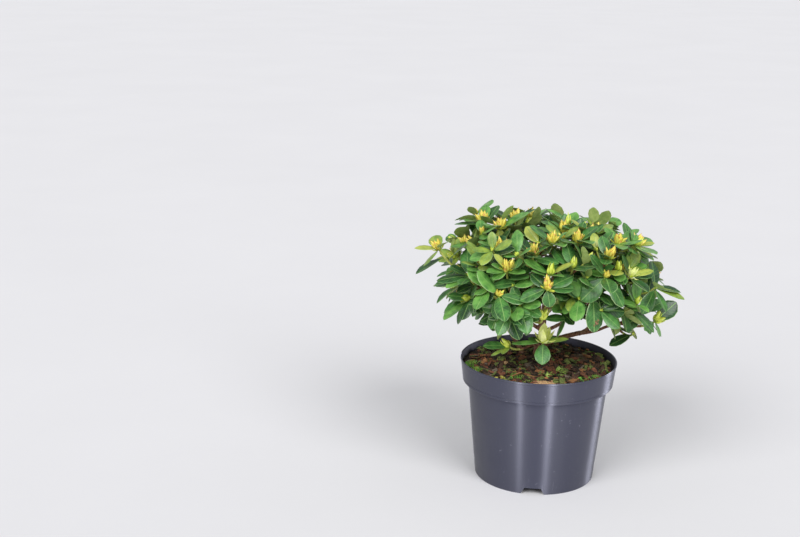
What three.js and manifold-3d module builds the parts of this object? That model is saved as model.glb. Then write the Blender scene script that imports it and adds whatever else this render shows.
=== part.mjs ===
// A compact azalea shrub in a round nursery pot, in millimetres, +Z up.
// The origin is the middle of the pot's underside, and the shrub's front faces -Y.
//
// Stems rise from the potting mix, each forks into boughs, and each bough carries one
// mass of foliage. The crown is a low dome of shoots laid out by the golden angle.
// Every shoot belongs to the mass whose centre is nearest, so the masses share the
// crown's space between them like cells. A leaf may reach a little over the wall of its
// mass's cell where it finds room, and is left out where it would touch anything.

import * as THREE from 'three';
import { mergeVertices } from 'three/addons/utils/BufferGeometryUtils.js';
import Module from 'manifold-3d';

const wasm = await Module();
wasm.setup();

// Pot: a moulded 17 cm nursery pot with a deep collar, tapering to a notched foot
const POT_HEIGHT = 132.5;
const RIM_RADIUS = 85;
const FOOT_RADIUS = 65.3;
const WALL = 1.5;
const FLOOR = 2;
const COLLAR_DEPTH = 25;
const COLLAR_STEP = 6;
const COLLAR_DRAFT = 3.2;
const WALL_TOP_RADIUS = RIM_RADIUS - COLLAR_DRAFT - COLLAR_STEP;
const POT_SIDES = 28;

// Pot floor: a disc that stands on the ground, and a raised drainage channel round it
const FLOOR_DISC_RADIUS = 43;
const CHANNEL_RADIUS = 62;
const CHANNEL_HEIGHT = 8;

// Drainage notches in the foot, one of which faces the front
const NOTCHES = 4;
const NOTCH_FOOT_WIDTH = 25.4;
const NOTCH_TOP_WIDTH = 17.8;
const NOTCH_HEIGHT = 7.4;
const NOTCH_INNER_RADIUS = 58;
const FRONT_NOTCH_ANGLE = THREE.MathUtils.degToRad(-96.4);

// Potting mix: fills the pot to just under the rim, a little higher in the middle
const MIX_EDGE_HEIGHT = 124;
const MIX_CROWN_HEIGHT = 129;
const MIX_FLAT_RADIUS = 34;

// The gap that parts touching pieces
const CLEARANCE = 0.3;

// Crown: a low dome with square shoulders, through the tips of its shoots
const CROWN_MIDDLE = new THREE.Vector3(6, 6, 222);
const CROWN_RADIUS = 101;
const CROWN_RISE = 54;
const CROWN_DROP = 46;
const CROWN_SHOULDER = 0.8;
const CROWN_SHOOTS = 50;
const LOWEST_SHOOT = -0.5;
const SHOOT_SPACING = 1.25;
const UNEVENNESS = 0.09;
const AZIMUTH_SWAY = 0.12;
const SHOOT_UPRIGHT = 0.75;
const TOP_UPRIGHT = 0.35;
const GOLDEN_ANGLE = Math.PI * (3 - Math.sqrt(5));

// Rings of foliage masses on that dome: how many, how far down from the top, first azimuth
const MASS_RINGS = [
  { name: 'foliage_top', count: 3, polar: 27, first: -70, reach: 0.86 },
  { name: 'foliage_shoulder', count: 6, polar: 68, first: -92, reach: 0.84 },
  { name: 'foliage_skirt', count: 5, polar: 104, first: -128, reach: 0.86 },
];

// Low shoots that stand clear of the dome, in masses of their own
const OUTLYING_MASSES = [
  {
    name: 'foliage_front_low',
    centre: [-8, -44, 152],
    shoots: [
      { tip: [-2, -54, 165], lean: [0.05, -0.35, 1], bud: 'tuft' },
      { tip: [-36, -40, 158], lean: [-0.75, -0.3, 0.75], bud: 'cone' },
    ],
  },
  {
    name: 'foliage_right_low',
    centre: [112, -6, 178],
    shoots: [
      { tip: [122, -8, 175], lean: [0.75, -0.3, 0.75], bud: 'cone' },
      { tip: [104, -22, 192], lean: [0.2, -0.4, 0.9], bud: 'cone' },
      { tip: [118, 16, 190], lean: [0.8, 0.3, 0.6], bud: 'cone' },
    ],
  },
  {
    name: 'foliage_back_low',
    centre: [-30, 100, 172],
    shoots: [
      { tip: [-24, 104, 178], lean: [-0.1, 0.8, 0.6], bud: 'cone' },
      { tip: [-52, 92, 174], lean: [-0.6, 0.6, 0.6], bud: 'tuft' },
    ],
  },
];

// Shoots that reach out past the dome, each in the mass whose centre is nearest
const LONG_SHOOTS = [
  { tip: [-112, -20, 258], lean: [-0.5, -0.1, 0.9], bud: 'cluster' },
];

// Stems, from the potting mix or the short trunk to the forks that the boughs leave from
const TRUNK = { name: 'trunk', path: [[3, 26, 126], [4, 25, 136], [6, 24, 146]], base: 8, tip: 5.4 };
const ROOT_FLARE = 0.25;
const TRUNK_SIDES = 8;
const STEM_SIDES = 7;
const STEM_STEPS = 4;
const STEMS = [
  { name: 'stem_left', path: [[-11, 27, 126], [-24, 19, 146], [-42, 6, 176]], base: 3, tip: 2.3 },
  { name: 'stem_front', path: [[5, 22, 142], [2, 2, 156], [-2, -24, 176]], base: 3, tip: 2.2 },
  { name: 'stem_right', path: [[8, 24, 141], [30, 19, 151], [50, 14, 158]], base: 3.4, tip: 2.5 },
  { name: 'stem_back', path: [[5, 27, 142], [6, 46, 156], [4, 66, 180]], base: 3, tip: 2.2 },
  { name: 'stem_middle', path: [[6, 24, 146.3], [6, 20, 176], [8, 16, 206]], base: 4, tip: 2.8 },
];

// Boughs: from a fork to the entry, where they meet the mass's stem, which runs on to its hub
const BOUGH_BASE = 2.2;
const BOUGH_TIP = 1.6;
const BOUGH_SIDES = 5;
const BOUGH_STEPS = 3;
const BOUGH_BEND = 0.4;
const BOUGH_RISE = 0.25;
const FORK_SPACING = 0.13;
const ENTRY_SHARE = 0.36;
const LAST_ENTRY_SHARE = 0.62;
const ENTRY_STEP = 0.03;
const HUB_SHARE = 0.72;

// Twigs are three-sided. They leave the mass's stem one after another, and take the first
// of these bends that is free.
const TWIG_BASE = 1.7;
const TWIG_TIP = 1.5;
const TWIG_SIDES = 3;
const TWIG_STEPS = 2;
const TWIG_BENDS = [0.45, 0.3, 0.6, 0.15];
const FIRST_TWIG = 0.45;
const LAST_TWIG = 0.98;
const TESTED_STEPS = 4;

// How far past the midway wall between two masses a leaf or a twig may reach
const LEAF_TRESPASS = 12;
const TWIG_TRESPASS = 4;

// Leaves: obovate, in a rosette under each bud, with older ones lower on the twig
const LEAF_LENGTH = 33;
const LEAF_LENGTH_SPREAD = 0.2;
const LEAF_WIDTH_SHARE = 0.62;
const LEAF_THICKNESS = 1.2;
const LEAF_THICKEST = 0.36;
const LEAF_FULLNESS = 0.47;
const LEAF_OBOVATE = 0.22;
const LEAF_TAPER = 0.72;
const LEAF_CUP = 0.1;
const LEAF_DROOP = 0.1;
const LEAF_ROOT = 0.5;
const LEAF_WEIGHT = 0.12;
const LEAF_SUNWARD = 0.6;
const LEAF_FLOOR = 136;
const ROSETTE_LEAVES = 5;
const ROSETTE_SPACING = 1.2;
const ROSETTE_SPREAD = [0.8, 1];
const ROSETTE_OPENING = 0.08;
const OLD_LEAVES = 1;
const OLD_SPACING = 9;
const LOWEST_LEAF_SHARE = 0.15;
const OLD_SPREAD = [1.15, 1.45];

// A leaf that doesn't fit is tried again, turned, raised and shortened
const LEAF_TRIES = 8;
const TRY_TURN = 0.14;
const TRY_CHANGE = 0.05;
const RING = [0, 1, 2, 3, 4, 5];

// Buds: plump flower buds in clusters, single leaf buds, and tufts of new growth
const BUDS = {
  cluster: { length: 11, spread: 5.4, valley: 0.5, valleyRadius: 2.1, middle: 1.1 },
  tuft: { length: 17, spread: 7.5, valley: 0.4, valleyRadius: 2, middle: 1.05 },
  cone: { length: 14, spread: 2.8, valley: 0.4, valleyRadius: 2.8, middle: 1 },
};
const BUD_TIPS = 3;
const BUD_SUNK = 1.5;
const FLOWERING_START = 182;
const FLOWERING_DEPTH = 75;
const CONE_SHARE = 0.6;

const UP = new THREE.Vector3(0, 0, 1);

const matt = (name, color, roughness) =>
  new THREE.MeshStandardMaterial({ name, color, roughness, metalness: 0 });

const finish = {
  pot: matt('pot plastic', 0x4d505c, 0.42),
  mix: matt('potting mix', 0x35241a, 0.95),
  bark: matt('bark', 0x7d4a33, 0.8),
  foliage: matt('foliage', 0x3f7a35, 0.45),
};

// A seeded source of even numbers from 0 to 1, the same on every run.
function randomFrom(seed) {
  const modulus = 2147483647;
  let state = (seed * 7919 + 104729) % modulus;
  const next = () => {
    state = (state * 48271) % modulus;
    return state / modulus;
  };
  next();
  next();
  return next;
}

const between = (random, low, high) => low + (high - low) * random();

// The geometry with shared vertices merged and only its positions kept.
function welded(geometry) {
  const bare = geometry.index ? geometry.toNonIndexed() : geometry.clone();
  bare.deleteAttribute('normal');
  bare.deleteAttribute('uv');
  const merged = mergeVertices(bare, 1e-4);
  const corners = [];
  for (let i = 0; i < merged.index.count; i += 3) {
    const [a, b, c] = [0, 1, 2].map((k) => merged.index.getX(i + k));
    if (a !== b && b !== c && c !== a) corners.push(a, b, c);
  }
  merged.setIndex(corners);
  return merged;
}

function toSolid(geometry) {
  const closed = welded(geometry);
  return new wasm.Manifold(new wasm.Mesh({
    numProp: 3,
    vertProperties: Float32Array.from(closed.attributes.position.array),
    triVerts: Uint32Array.from(closed.index.array),
  }));
}

// The solid's outer skin as a geometry. Loose scraps are dropped and sealed hollows filled.
function toGeometry(solid) {
  const pieces = solid.decompose().sort((a, b) => b.volume() - a.volume());
  const mesh = pieces[0].getMesh();
  const geometry = new THREE.BufferGeometry();
  const places = [];
  for (let i = 0; i < mesh.vertProperties.length; i += mesh.numProp) {
    places.push(mesh.vertProperties[i], mesh.vertProperties[i + 1], mesh.vertProperties[i + 2]);
  }
  geometry.setAttribute('position', new THREE.Float32BufferAttribute(places, 3));
  geometry.setIndex(Array.from(mesh.triVerts));
  geometry.computeVertexNormals();
  return geometry;
}

function moveVertices(geometry, place) {
  const positions = geometry.attributes.position;
  const point = new THREE.Vector3();
  for (let i = 0; i < positions.count; i += 1) {
    point.fromBufferAttribute(positions, i);
    place(point);
    positions.setXYZ(i, point.x, point.y, point.z);
  }
  return geometry;
}

// A lathe profile of [radius, height] pairs turned about Z.
function turned(profile, sides) {
  const points = profile.map(([radius, height]) => new THREE.Vector2(radius, height));
  return new THREE.LatheGeometry(points, sides).rotateX(Math.PI / 2);
}

// The inside of the pot, from the middle of its floor up to the rim, drawn in by a margin.
function potInside(margin) {
  const collarFoot = POT_HEIGHT - COLLAR_DEPTH;
  const channelTop = CHANNEL_HEIGHT + WALL;
  const draft = (WALL_TOP_RADIUS - FOOT_RADIUS) / (collarFoot - 1);
  return [
    [0, FLOOR + margin],
    [FLOOR_DISC_RADIUS - 1 - margin, FLOOR + margin],
    [FLOOR_DISC_RADIUS + 1 - margin, channelTop + margin],
    [FOOT_RADIUS - WALL + draft * channelTop - margin, channelTop + margin],
    [WALL_TOP_RADIUS - WALL - margin, collarFoot - 1],
    [RIM_RADIUS - COLLAR_DRAFT - WALL - margin, collarFoot + 2],
    [RIM_RADIUS - WALL - margin, POT_HEIGHT],
  ];
}

function potProfile() {
  const collarFoot = POT_HEIGHT - COLLAR_DEPTH;
  const collarRadius = RIM_RADIUS - COLLAR_DRAFT;
  const outside = [
    [RIM_RADIUS, POT_HEIGHT],
    [RIM_RADIUS, POT_HEIGHT - 1.5],
    [collarRadius, collarFoot + 1],
    [collarRadius - 1, collarFoot],
    [WALL_TOP_RADIUS, collarFoot - 1],
    [FOOT_RADIUS, 0],
    [FOOT_RADIUS - WALL, 0],
    [CHANNEL_RADIUS, CHANNEL_HEIGHT],
    [FLOOR_DISC_RADIUS + 1.5, CHANNEL_HEIGHT],
    [FLOOR_DISC_RADIUS, 0],
    [0, 0],
  ];
  return [...potInside(0), ...outside].reverse();
}

// A trapezoid with its wide side down, pushed out through the foot at an angle.
function notchGeometry(angle) {
  const below = 1;
  const flare = (NOTCH_FOOT_WIDTH - NOTCH_TOP_WIDTH) / (2 * NOTCH_HEIGHT);
  const outline = new THREE.Shape([
    new THREE.Vector2(-NOTCH_FOOT_WIDTH / 2 - flare * below, -below),
    new THREE.Vector2(NOTCH_FOOT_WIDTH / 2 + flare * below, -below),
    new THREE.Vector2(NOTCH_TOP_WIDTH / 2, NOTCH_HEIGHT),
    new THREE.Vector2(-NOTCH_TOP_WIDTH / 2, NOTCH_HEIGHT),
  ]);
  const depth = FOOT_RADIUS + NOTCH_HEIGHT - NOTCH_INNER_RADIUS;
  const geometry = new THREE.ExtrudeGeometry(outline, { depth, bevelEnabled: false, steps: 1 });
  geometry.translate(0, 0, NOTCH_INNER_RADIUS);
  geometry.rotateX(Math.PI / 2).rotateZ(Math.PI);
  return geometry.rotateZ(angle - Math.PI / 2);
}

function makePot() {
  let solid = toSolid(turned(potProfile(), POT_SIDES));
  for (let i = 0; i < NOTCHES; i += 1) {
    const angle = FRONT_NOTCH_ANGLE + (i * 2 * Math.PI) / NOTCHES;
    solid = solid.subtract(toSolid(notchGeometry(angle)));
  }
  return toGeometry(solid);
}

function makePottingMix() {
  const inside = potInside(CLEARANCE);
  const rim = inside.pop();
  const shoulder = inside[inside.length - 1];
  const share = (MIX_EDGE_HEIGHT - shoulder[1]) / (rim[1] - shoulder[1]);
  const edge = [shoulder[0] + share * (rim[0] - shoulder[0]), MIX_EDGE_HEIGHT];
  const top = [[MIX_FLAT_RADIUS, MIX_CROWN_HEIGHT], [0, MIX_CROWN_HEIGHT]];
  return welded(turned([...inside, edge, ...top], POT_SIDES));
}

// A tapering limb: a closed cylinder bent along a curve. Its foot may flare.
function limbGeometry(curve, baseRadius, tipRadius, sides, steps, flare = 0) {
  const geometry = new THREE.CylinderGeometry(tipRadius, baseRadius, 1, sides, steps);
  const frames = curve.computeFrenetFrames(steps, false);
  return moveVertices(geometry, (point) => {
    const along = point.y + 0.5;
    const step = Math.round(along * steps);
    const swell = 1 + flare * Math.max(0, 1 - 3 * along);
    const middle = curve.getPoint(along);
    middle.addScaledVector(frames.normals[step], point.x * swell);
    middle.addScaledVector(frames.binormals[step], -point.z * swell);
    point.copy(middle);
  });
}

const vector = ([x, y, z]) => new THREE.Vector3(x, y, z);

// A bend from one point to another that arrives in a given direction.
function bend(from, to, arriving, pull) {
  const middle = to.clone().addScaledVector(arriving, -pull * from.distanceTo(to));
  return new THREE.QuadraticBezierCurve3(from, middle, to);
}

// A point on the dome: polar is the angle down from its top, reach a share of its size.
function domePoint(polar, azimuth, reach) {
  const level = Math.cos(polar);
  const side = Math.pow(Math.sin(polar), CROWN_SHOULDER);
  const height = Math.sign(level) * Math.pow(Math.abs(level), CROWN_SHOULDER);
  return new THREE.Vector3(
    reach * CROWN_RADIUS * side * Math.cos(azimuth),
    reach * CROWN_RADIUS * side * Math.sin(azimuth),
    reach * (level > 0 ? CROWN_RISE : CROWN_DROP) * height,
  ).add(CROWN_MIDDLE);
}

// Flower buds crown the upper shoots. Leaf buds and tufts come more often lower down.
function budKind(random, height) {
  const share = random();
  const flowering = THREE.MathUtils.clamp((height - FLOWERING_START) / FLOWERING_DEPTH, 0.15, 0.85);
  if (share < flowering) return 'cluster';
  return share < flowering + (1 - flowering) * CONE_SHARE ? 'cone' : 'tuft';
}

function domeShoots() {
  const shoots = [];
  for (let i = 0; i < CROWN_SHOOTS; i += 1) {
    const random = randomFrom(i + 1);
    const level = 1 - (1 - LOWEST_SHOOT) * ((i + 0.5) / CROWN_SHOOTS) ** SHOOT_SPACING;
    const reach = 1 + between(random, -UNEVENNESS, UNEVENNESS);
    const azimuth = i * GOLDEN_ANGLE + between(random, -AZIMUTH_SWAY, AZIMUTH_SWAY);
    const tip = domePoint(Math.acos(level), azimuth, reach);
    const lean = new THREE.Vector3(tip.x - CROWN_MIDDLE.x, tip.y - CROWN_MIDDLE.y, 0);
    lean.divideScalar(CROWN_RADIUS).addScaledVector(UP, SHOOT_UPRIGHT + TOP_UPRIGHT * level).normalize();
    shoots.push({ tip, lean, bud: budKind(random, tip.z), seed: (i + 1) * 1000 });
  }
  return shoots;
}

// Shoots placed one by one, with seeds that follow on from the dome's.
function placedShoots(list, group) {
  return list.map((shoot, i) => ({
    tip: vector(shoot.tip),
    lean: vector(shoot.lean).normalize(),
    bud: shoot.bud,
    seed: (CROWN_SHOOTS + 10 * group + i + 1) * 1000,
  }));
}

function massCentres() {
  const masses = [];
  for (const ring of MASS_RINGS) {
    for (let i = 0; i < ring.count; i += 1) {
      const azimuth = THREE.MathUtils.degToRad(ring.first + (i * 360) / ring.count);
      const centre = domePoint(THREE.MathUtils.degToRad(ring.polar), azimuth, ring.reach);
      masses.push({ name: `${ring.name}_${i + 1}`, centre, shoots: [] });
    }
  }
  OUTLYING_MASSES.forEach((low, group) => {
    masses.push({ name: low.name, centre: vector(low.centre), shoots: placedShoots(low.shoots, group) });
  });
  return masses;
}

const nearest = (items, point, place) => items.reduce((best, item) =>
  (place(item).distanceTo(point) < place(best).distanceTo(point) ? item : best));

function planMasses() {
  const masses = massCentres();
  const longShoots = placedShoots(LONG_SHOOTS, OUTLYING_MASSES.length);
  for (const shoot of [...domeShoots(), ...longShoots]) {
    nearest(masses, shoot.tip, (mass) => mass.centre).shoots.push(shoot);
  }
  return masses.filter((mass) => mass.shoots.length > 0);
}

// How far a point lies inside a mass's cell, measured to the nearest wall between two cells.
function depthInCell(point, mass, masses) {
  let depth = Infinity;
  for (const other of masses) {
    if (other === mass) continue;
    const apart = other.centre.distanceTo(mass.centre);
    const nearer = point.distanceToSquared(other.centre) - point.distanceToSquared(mass.centre);
    depth = Math.min(depth, nearer / (2 * apart));
  }
  return depth;
}

// The least distance between segment p-q and segment r-s.
function segmentGap(p, q, r, s) {
  const d1 = q.clone().sub(p);
  const d2 = s.clone().sub(r);
  const apart = p.clone().sub(r);
  const a = d1.dot(d1);
  const e = d2.dot(d2);
  const f = d2.dot(apart);
  const c = d1.dot(apart);
  const b = d1.dot(d2);
  const spread = a * e - b * b;
  let along = spread > 1e-9 ? THREE.MathUtils.clamp((b * f - c * e) / spread, 0, 1) : 0;
  let across = (b * along + f) / e;
  if (across < 0 || across > 1) {
    across = THREE.MathUtils.clamp(across, 0, 1);
    along = THREE.MathUtils.clamp((b * across - c) / a, 0, 1);
  }
  return p.clone().addScaledVector(d1, along).distanceTo(r.clone().addScaledVector(d2, across));
}

// Whether segment p-q passes through triangle a-b-c.
function pierces(p, q, a, b, c) {
  const ray = new THREE.Ray(p, q.clone().sub(p).normalize());
  const hit = ray.intersectTriangle(a, b, c, false, new THREE.Vector3());
  return hit !== null && hit.distanceTo(p) <= q.distanceTo(p);
}

// Limbs: the trunk, stems and boughs, each with its curve and its radius at both ends
const limbs = [];

function addLimb(name, curve, base, tip, sides, steps, flare = 0) {
  const points = curve.getPoints(steps);
  limbs.push({ name, curve, base, tip, sides, steps, flare, points });
  return limbs[limbs.length - 1];
}

const spline = (path) => new THREE.CatmullRomCurve3(path.map(vector));

function planStems() {
  addLimb(TRUNK.name, spline(TRUNK.path), TRUNK.base, TRUNK.tip, TRUNK_SIDES, STEM_STEPS, ROOT_FLARE);
  return STEMS.map(({ name, path, base, tip }) =>
    addLimb(name, spline(path), base, tip, STEM_SIDES, STEM_STEPS));
}

// Each mass hangs on the stem whose tip is nearest. Boughs leave that stem one below another.
function planBough(mass, stems, masses) {
  const heart = new THREE.Vector3();
  for (const shoot of mass.shoots) heart.addScaledVector(shoot.tip, 1 / mass.shoots.length);
  heart.lerp(mass.centre, 0.5);
  const stem = nearest(stems, heart, (limb) => limb.curve.getPoint(1));
  stem.forks = (stem.forks ?? 0) + 1;
  const start = stem.curve.getPoint(1 - FORK_SPACING * (stem.forks - 1));
  let share = ENTRY_SHARE;
  const inside = (place) => depthInCell(place, mass, masses) > 2 * BOUGH_TIP;
  while (share < LAST_ENTRY_SHARE && !inside(start.clone().lerp(heart, share))) share += ENTRY_STEP;
  const entry = start.clone().lerp(heart, share);
  const heading = heart.clone().sub(entry).normalize().addScaledVector(UP, BOUGH_RISE).normalize();
  const curve = bend(start, entry, heading, BOUGH_BEND);
  const name = mass.name.replace('foliage', 'bough');
  addLimb(name, curve, Math.min(BOUGH_BASE, stem.tip), BOUGH_TIP, BOUGH_SIDES, BOUGH_STEPS);
  mass.entry = entry.clone().addScaledVector(curve.getTangent(1), CLEARANCE);
  mass.heading = curve.getTangent(1);
  mass.hub = start.clone().lerp(heart, HUB_SHARE);
}

function touchesLimb(from, to, radius) {
  return limbs.some((limb) => limb.points.slice(1).some((end, i) => {
    const thick = THREE.MathUtils.lerp(limb.base, limb.tip, i / limb.steps);
    return segmentGap(from, to, limb.points[i], end) < thick + radius + CLEARANCE;
  }));
}

// A leaf's outline: the angle runs from its foot, 0, round its tip, pi, and back.
function leafOutline(angle, length, width) {
  const level = (1 - Math.cos(angle)) / 2;
  const along = Math.pow(level, LEAF_TAPER);
  const across = Math.sin(angle) * width * LEAF_FULLNESS * (1 + LEAF_OBOVATE * (level - 0.5));
  const rise = LEAF_CUP * Math.abs(across) - LEAF_DROOP * length * along * along;
  return { along: along * length, across, rise };
}

function onLeaf(leaf, along, across, rise) {
  return leaf.foot.clone().addScaledVector(leaf.heading, along)
    .addScaledVector(leaf.side, across).addScaledVector(leaf.face, rise);
}

function leafMiddle(leaf, above) {
  const sag = LEAF_DROOP * leaf.length * LEAF_THICKEST ** 2;
  return onLeaf(leaf, LEAF_THICKEST * leaf.length, 0, above - sag);
}

// A leaf is a double pyramid on a ring of outline points, so it is thickest in the middle.
function leafGeometry(leaf) {
  return moveVertices(new THREE.SphereGeometry(1, RING.length, 2), (point) => {
    if (Math.abs(point.y) > 0.5) {
      const half = (Math.sign(point.y) * LEAF_THICKNESS) / 2;
      point.copy(leafMiddle(leaf, half));
    } else {
      const place = leafOutline(Math.atan2(point.z, -point.x), leaf.length, leaf.width);
      point.copy(onLeaf(leaf, place.along, place.across, place.rise));
    }
  });
}

// The blade as a fan of triangles about its middle, to test what it would touch.
function bladeOf(leaf) {
  const middle = leafMiddle(leaf, 0);
  const ring = RING.map((i) => {
    const place = leafOutline((i * 2 * Math.PI) / RING.length, leaf.length, leaf.width);
    return onLeaf(leaf, place.along, place.across, place.rise);
  });
  ring[0] = ring[0].clone().lerp(middle, 0.2);
  const edges = ring.flatMap((point, i) => [[point, ring[(i + 1) % ring.length]], [middle, point]]);
  return { middle, ring, edges, reach: leaf.length * (1.02 - LEAF_THICKEST) };
}

function bladesMeet(a, b, gap) {
  if (a.middle.distanceTo(b.middle) > a.reach + b.reach) return false;
  const pierced = (one, two) => one.edges.some(([from, to]) => two.ring.some((corner, i) =>
    pierces(from, to, two.middle, corner, two.ring[(i + 1) % two.ring.length])));
  const close = () => a.edges.some(([p, q]) => b.edges.some(([r, t]) => segmentGap(p, q, r, t) < gap));
  return pierced(a, b) || pierced(b, a) || close();
}

// A leaf set on a twig: turn is its angle round the twig, spread its angle from the twig's axis.
function poseLeaf(root, axis, turn, spread, length) {
  const start = Math.abs(axis.z) < 0.95 ? UP : new THREE.Vector3(1, 0, 0);
  const across = new THREE.Vector3().crossVectors(axis, start).normalize();
  const outward = across.applyAxisAngle(axis, turn);
  const heading = axis.clone().multiplyScalar(Math.cos(spread)).addScaledVector(outward, Math.sin(spread));
  heading.addScaledVector(UP, -LEAF_WEIGHT).normalize();
  const face = axis.clone().addScaledVector(UP, LEAF_SUNWARD);
  face.addScaledVector(heading, -face.dot(heading)).normalize();
  const side = new THREE.Vector3().crossVectors(heading, face);
  const foot = root.clone().addScaledVector(heading, -LEAF_ROOT);
  return { foot, heading, side, face, length: length + LEAF_ROOT, width: length * LEAF_WIDTH_SHARE };
}

// What the leaves have to keep clear of besides the limbs: twigs, buds and other leaves
const grown = { rods: [], blades: [] };

function rodsNear(from, to, radius, shoot) {
  return grown.rods.some((rod) => rod.shoot !== shoot
    && segmentGap(from, to, rod.from, rod.to) < rod.radius + radius + CLEARANCE);
}

function leafFits(blade, shoot, mass, masses) {
  const points = [blade.middle, ...blade.ring];
  if (points.some((point) => point.z < LEAF_FLOOR)) return false;
  if (points.some((point) => depthInCell(point, mass, masses) < -LEAF_TRESPASS)) return false;
  const half = LEAF_THICKNESS / 2;
  if (blade.edges.some(([from, to]) => touchesLimb(from, to, half))) return false;
  if (blade.edges.some(([from, to]) => rodsNear(from, to, half, shoot))) return false;
  return !grown.blades.some((other) => {
    const gap = other.mass === mass ? half : LEAF_THICKNESS + CLEARANCE;
    return bladesMeet(other.blade, blade, other.shoot === shoot ? 0 : gap);
  });
}

// Grows one leaf, or none where no try fits.
function growLeaf(root, axis, turn, spread, seed, shoot, mass, masses) {
  const random = randomFrom(seed);
  const length = LEAF_LENGTH * between(random, 1 - LEAF_LENGTH_SPREAD, 1 + LEAF_LENGTH_SPREAD);
  for (let attempt = 0; attempt < LEAF_TRIES; attempt += 1) {
    const wander = attempt * TRY_TURN * (attempt % 2 ? 1 : -1);
    const change = 1 - TRY_CHANGE * attempt;
    const leaf = poseLeaf(root, axis, turn + wander, spread * change, length * change);
    const blade = bladeOf(leaf);
    if (leafFits(blade, shoot, mass, masses)) {
      grown.blades.push({ blade, shoot, mass });
      return leaf;
    }
  }
  return null;
}

// A bud is a spindle. A cluster or a tuft is one solid with a ring of tips round a middle one.
function budGeometry(foot, axis, kind, phase) {
  const { length, spread, valley, valleyRadius, middle } = BUDS[kind];
  const turn = new THREE.Quaternion().setFromUnitVectors(new THREE.Vector3(0, 1, 0), axis);
  const sides = kind === 'cone' ? BUD_TIPS + 1 : 2 * BUD_TIPS;
  return moveVertices(new THREE.SphereGeometry(1, sides, 2), (point) => {
    const angle = Math.atan2(point.z, point.x);
    const place = (radius, height) => point.set(
      radius * Math.cos(angle + phase), height * length, radius * Math.sin(angle + phase));
    if (point.y < -0.9) place(0, 0);
    else if (point.y > 0.9) place(0, middle);
    else if (kind !== 'cone' && Math.round((angle / Math.PI) * BUD_TIPS + 2 * BUD_TIPS) % 2) place(spread, 1);
    else place(valleyRadius, valley);
    point.applyQuaternion(turn).add(foot);
  });
}

function addRods(curve, radius, owner) {
  const points = curve.getPoints(TESTED_STEPS);
  points.slice(1).forEach((to, i) => grown.rods.push({ from: points[i], to, radius, ...owner }));
}

function twigFits(curve, mass, masses) {
  const points = curve.getPoints(TESTED_STEPS);
  if (points.some((point) => depthInCell(point, mass, masses) < -TWIG_TRESPASS)) return false;
  return !points.slice(1).some((end, i) => touchesLimb(points[i], end, TWIG_BASE)
    || grown.rods.some((rod) => rod.mass !== mass
      && segmentGap(points[i], end, rod.from, rod.to) < rod.radius + TWIG_BASE + CLEARANCE));
}

// The mass's own stem, from the bough's tip to the middle of its shoots.
function growStem(mass) {
  const gap = mass.entry.distanceTo(mass.hub);
  const middle = mass.entry.clone().addScaledVector(mass.heading, BOUGH_BEND * gap);
  mass.stem = new THREE.QuadraticBezierCurve3(mass.entry, middle, mass.hub);
  addRods(mass.stem, BOUGH_TIP, { mass });
  mass.parts = [limbGeometry(mass.stem, BOUGH_TIP, TWIG_BASE, BOUGH_SIDES, TWIG_STEPS)];
}

// One shoot's twig and bud. The lowest shoots leave the mass's stem first.
function growTwig(shoot, rank, mass, masses) {
  const share = FIRST_TWIG + ((1 - FIRST_TWIG) * (rank + 1)) / mass.shoots.length;
  const start = mass.stem.getPoint(share * LAST_TWIG);
  const curves = TWIG_BENDS.map((pull) => bend(start, shoot.tip, shoot.lean, pull));
  const curve = curves.find((path) => twigFits(path, mass, masses));
  if (!curve) return;
  shoot.twig = curve;
  shoot.phase = randomFrom(shoot.seed)() * Math.PI * 2;
  addRods(curve, TWIG_BASE, { shoot, mass });
  const bud = BUDS[shoot.bud];
  const top = shoot.tip.clone().addScaledVector(shoot.lean, bud.length);
  grown.rods.push({ from: shoot.tip, to: top, radius: bud.spread, shoot, mass });
  const foot = shoot.tip.clone().addScaledVector(shoot.lean, -BUD_SUNK);
  mass.parts.push(limbGeometry(curve, TWIG_BASE, TWIG_TIP, TWIG_SIDES, TWIG_STEPS));
  mass.parts.push(budGeometry(foot, shoot.lean, shoot.bud, shoot.phase));
}

// The rosette's leaves sit close under the bud, and the older ones lower down the twig.
function growShootLeaf(shoot, i, mass, masses) {
  const random = randomFrom(shoot.seed + 20 + i);
  const old = i - ROSETTE_LEAVES + 1;
  const rosette = 1 + ROSETTE_SPACING * i;
  const below = old > 0 ? rosette + OLD_SPACING * old : rosette;
  const share = Math.max(LOWEST_LEAF_SHARE, 1 - below / shoot.twig.getLength());
  const opening = old > 0 ? 0 : ROSETTE_OPENING * i;
  const spread = between(random, ...(old > 0 ? OLD_SPREAD : ROSETTE_SPREAD)) + opening;
  const turn = shoot.phase + i * GOLDEN_ANGLE;
  const root = shoot.twig.getPointAt(share);
  const axis = shoot.twig.getTangentAt(share);
  const leaf = growLeaf(root, axis, turn, spread, shoot.seed + 40 + i, shoot, mass, masses);
  if (leaf) mass.parts.push(leafGeometry(leaf));
}

// The whole crown grows together: stems, then twigs and buds, then leaves one round at a time.
function growCrown(masses) {
  masses.forEach(growStem);
  for (const mass of masses) {
    mass.shoots.sort((a, b) => a.tip.distanceTo(mass.entry) - b.tip.distanceTo(mass.entry));
    mass.shoots.forEach((shoot, rank) => growTwig(shoot, rank, mass, masses));
    mass.shoots = mass.shoots.filter((shoot) => shoot.twig);
  }
  for (let i = 0; i < ROSETTE_LEAVES + OLD_LEAVES; i += 1) {
    for (const mass of masses) {
      for (const shoot of mass.shoots) growShootLeaf(shoot, i, mass, masses);
    }
  }
}

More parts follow.
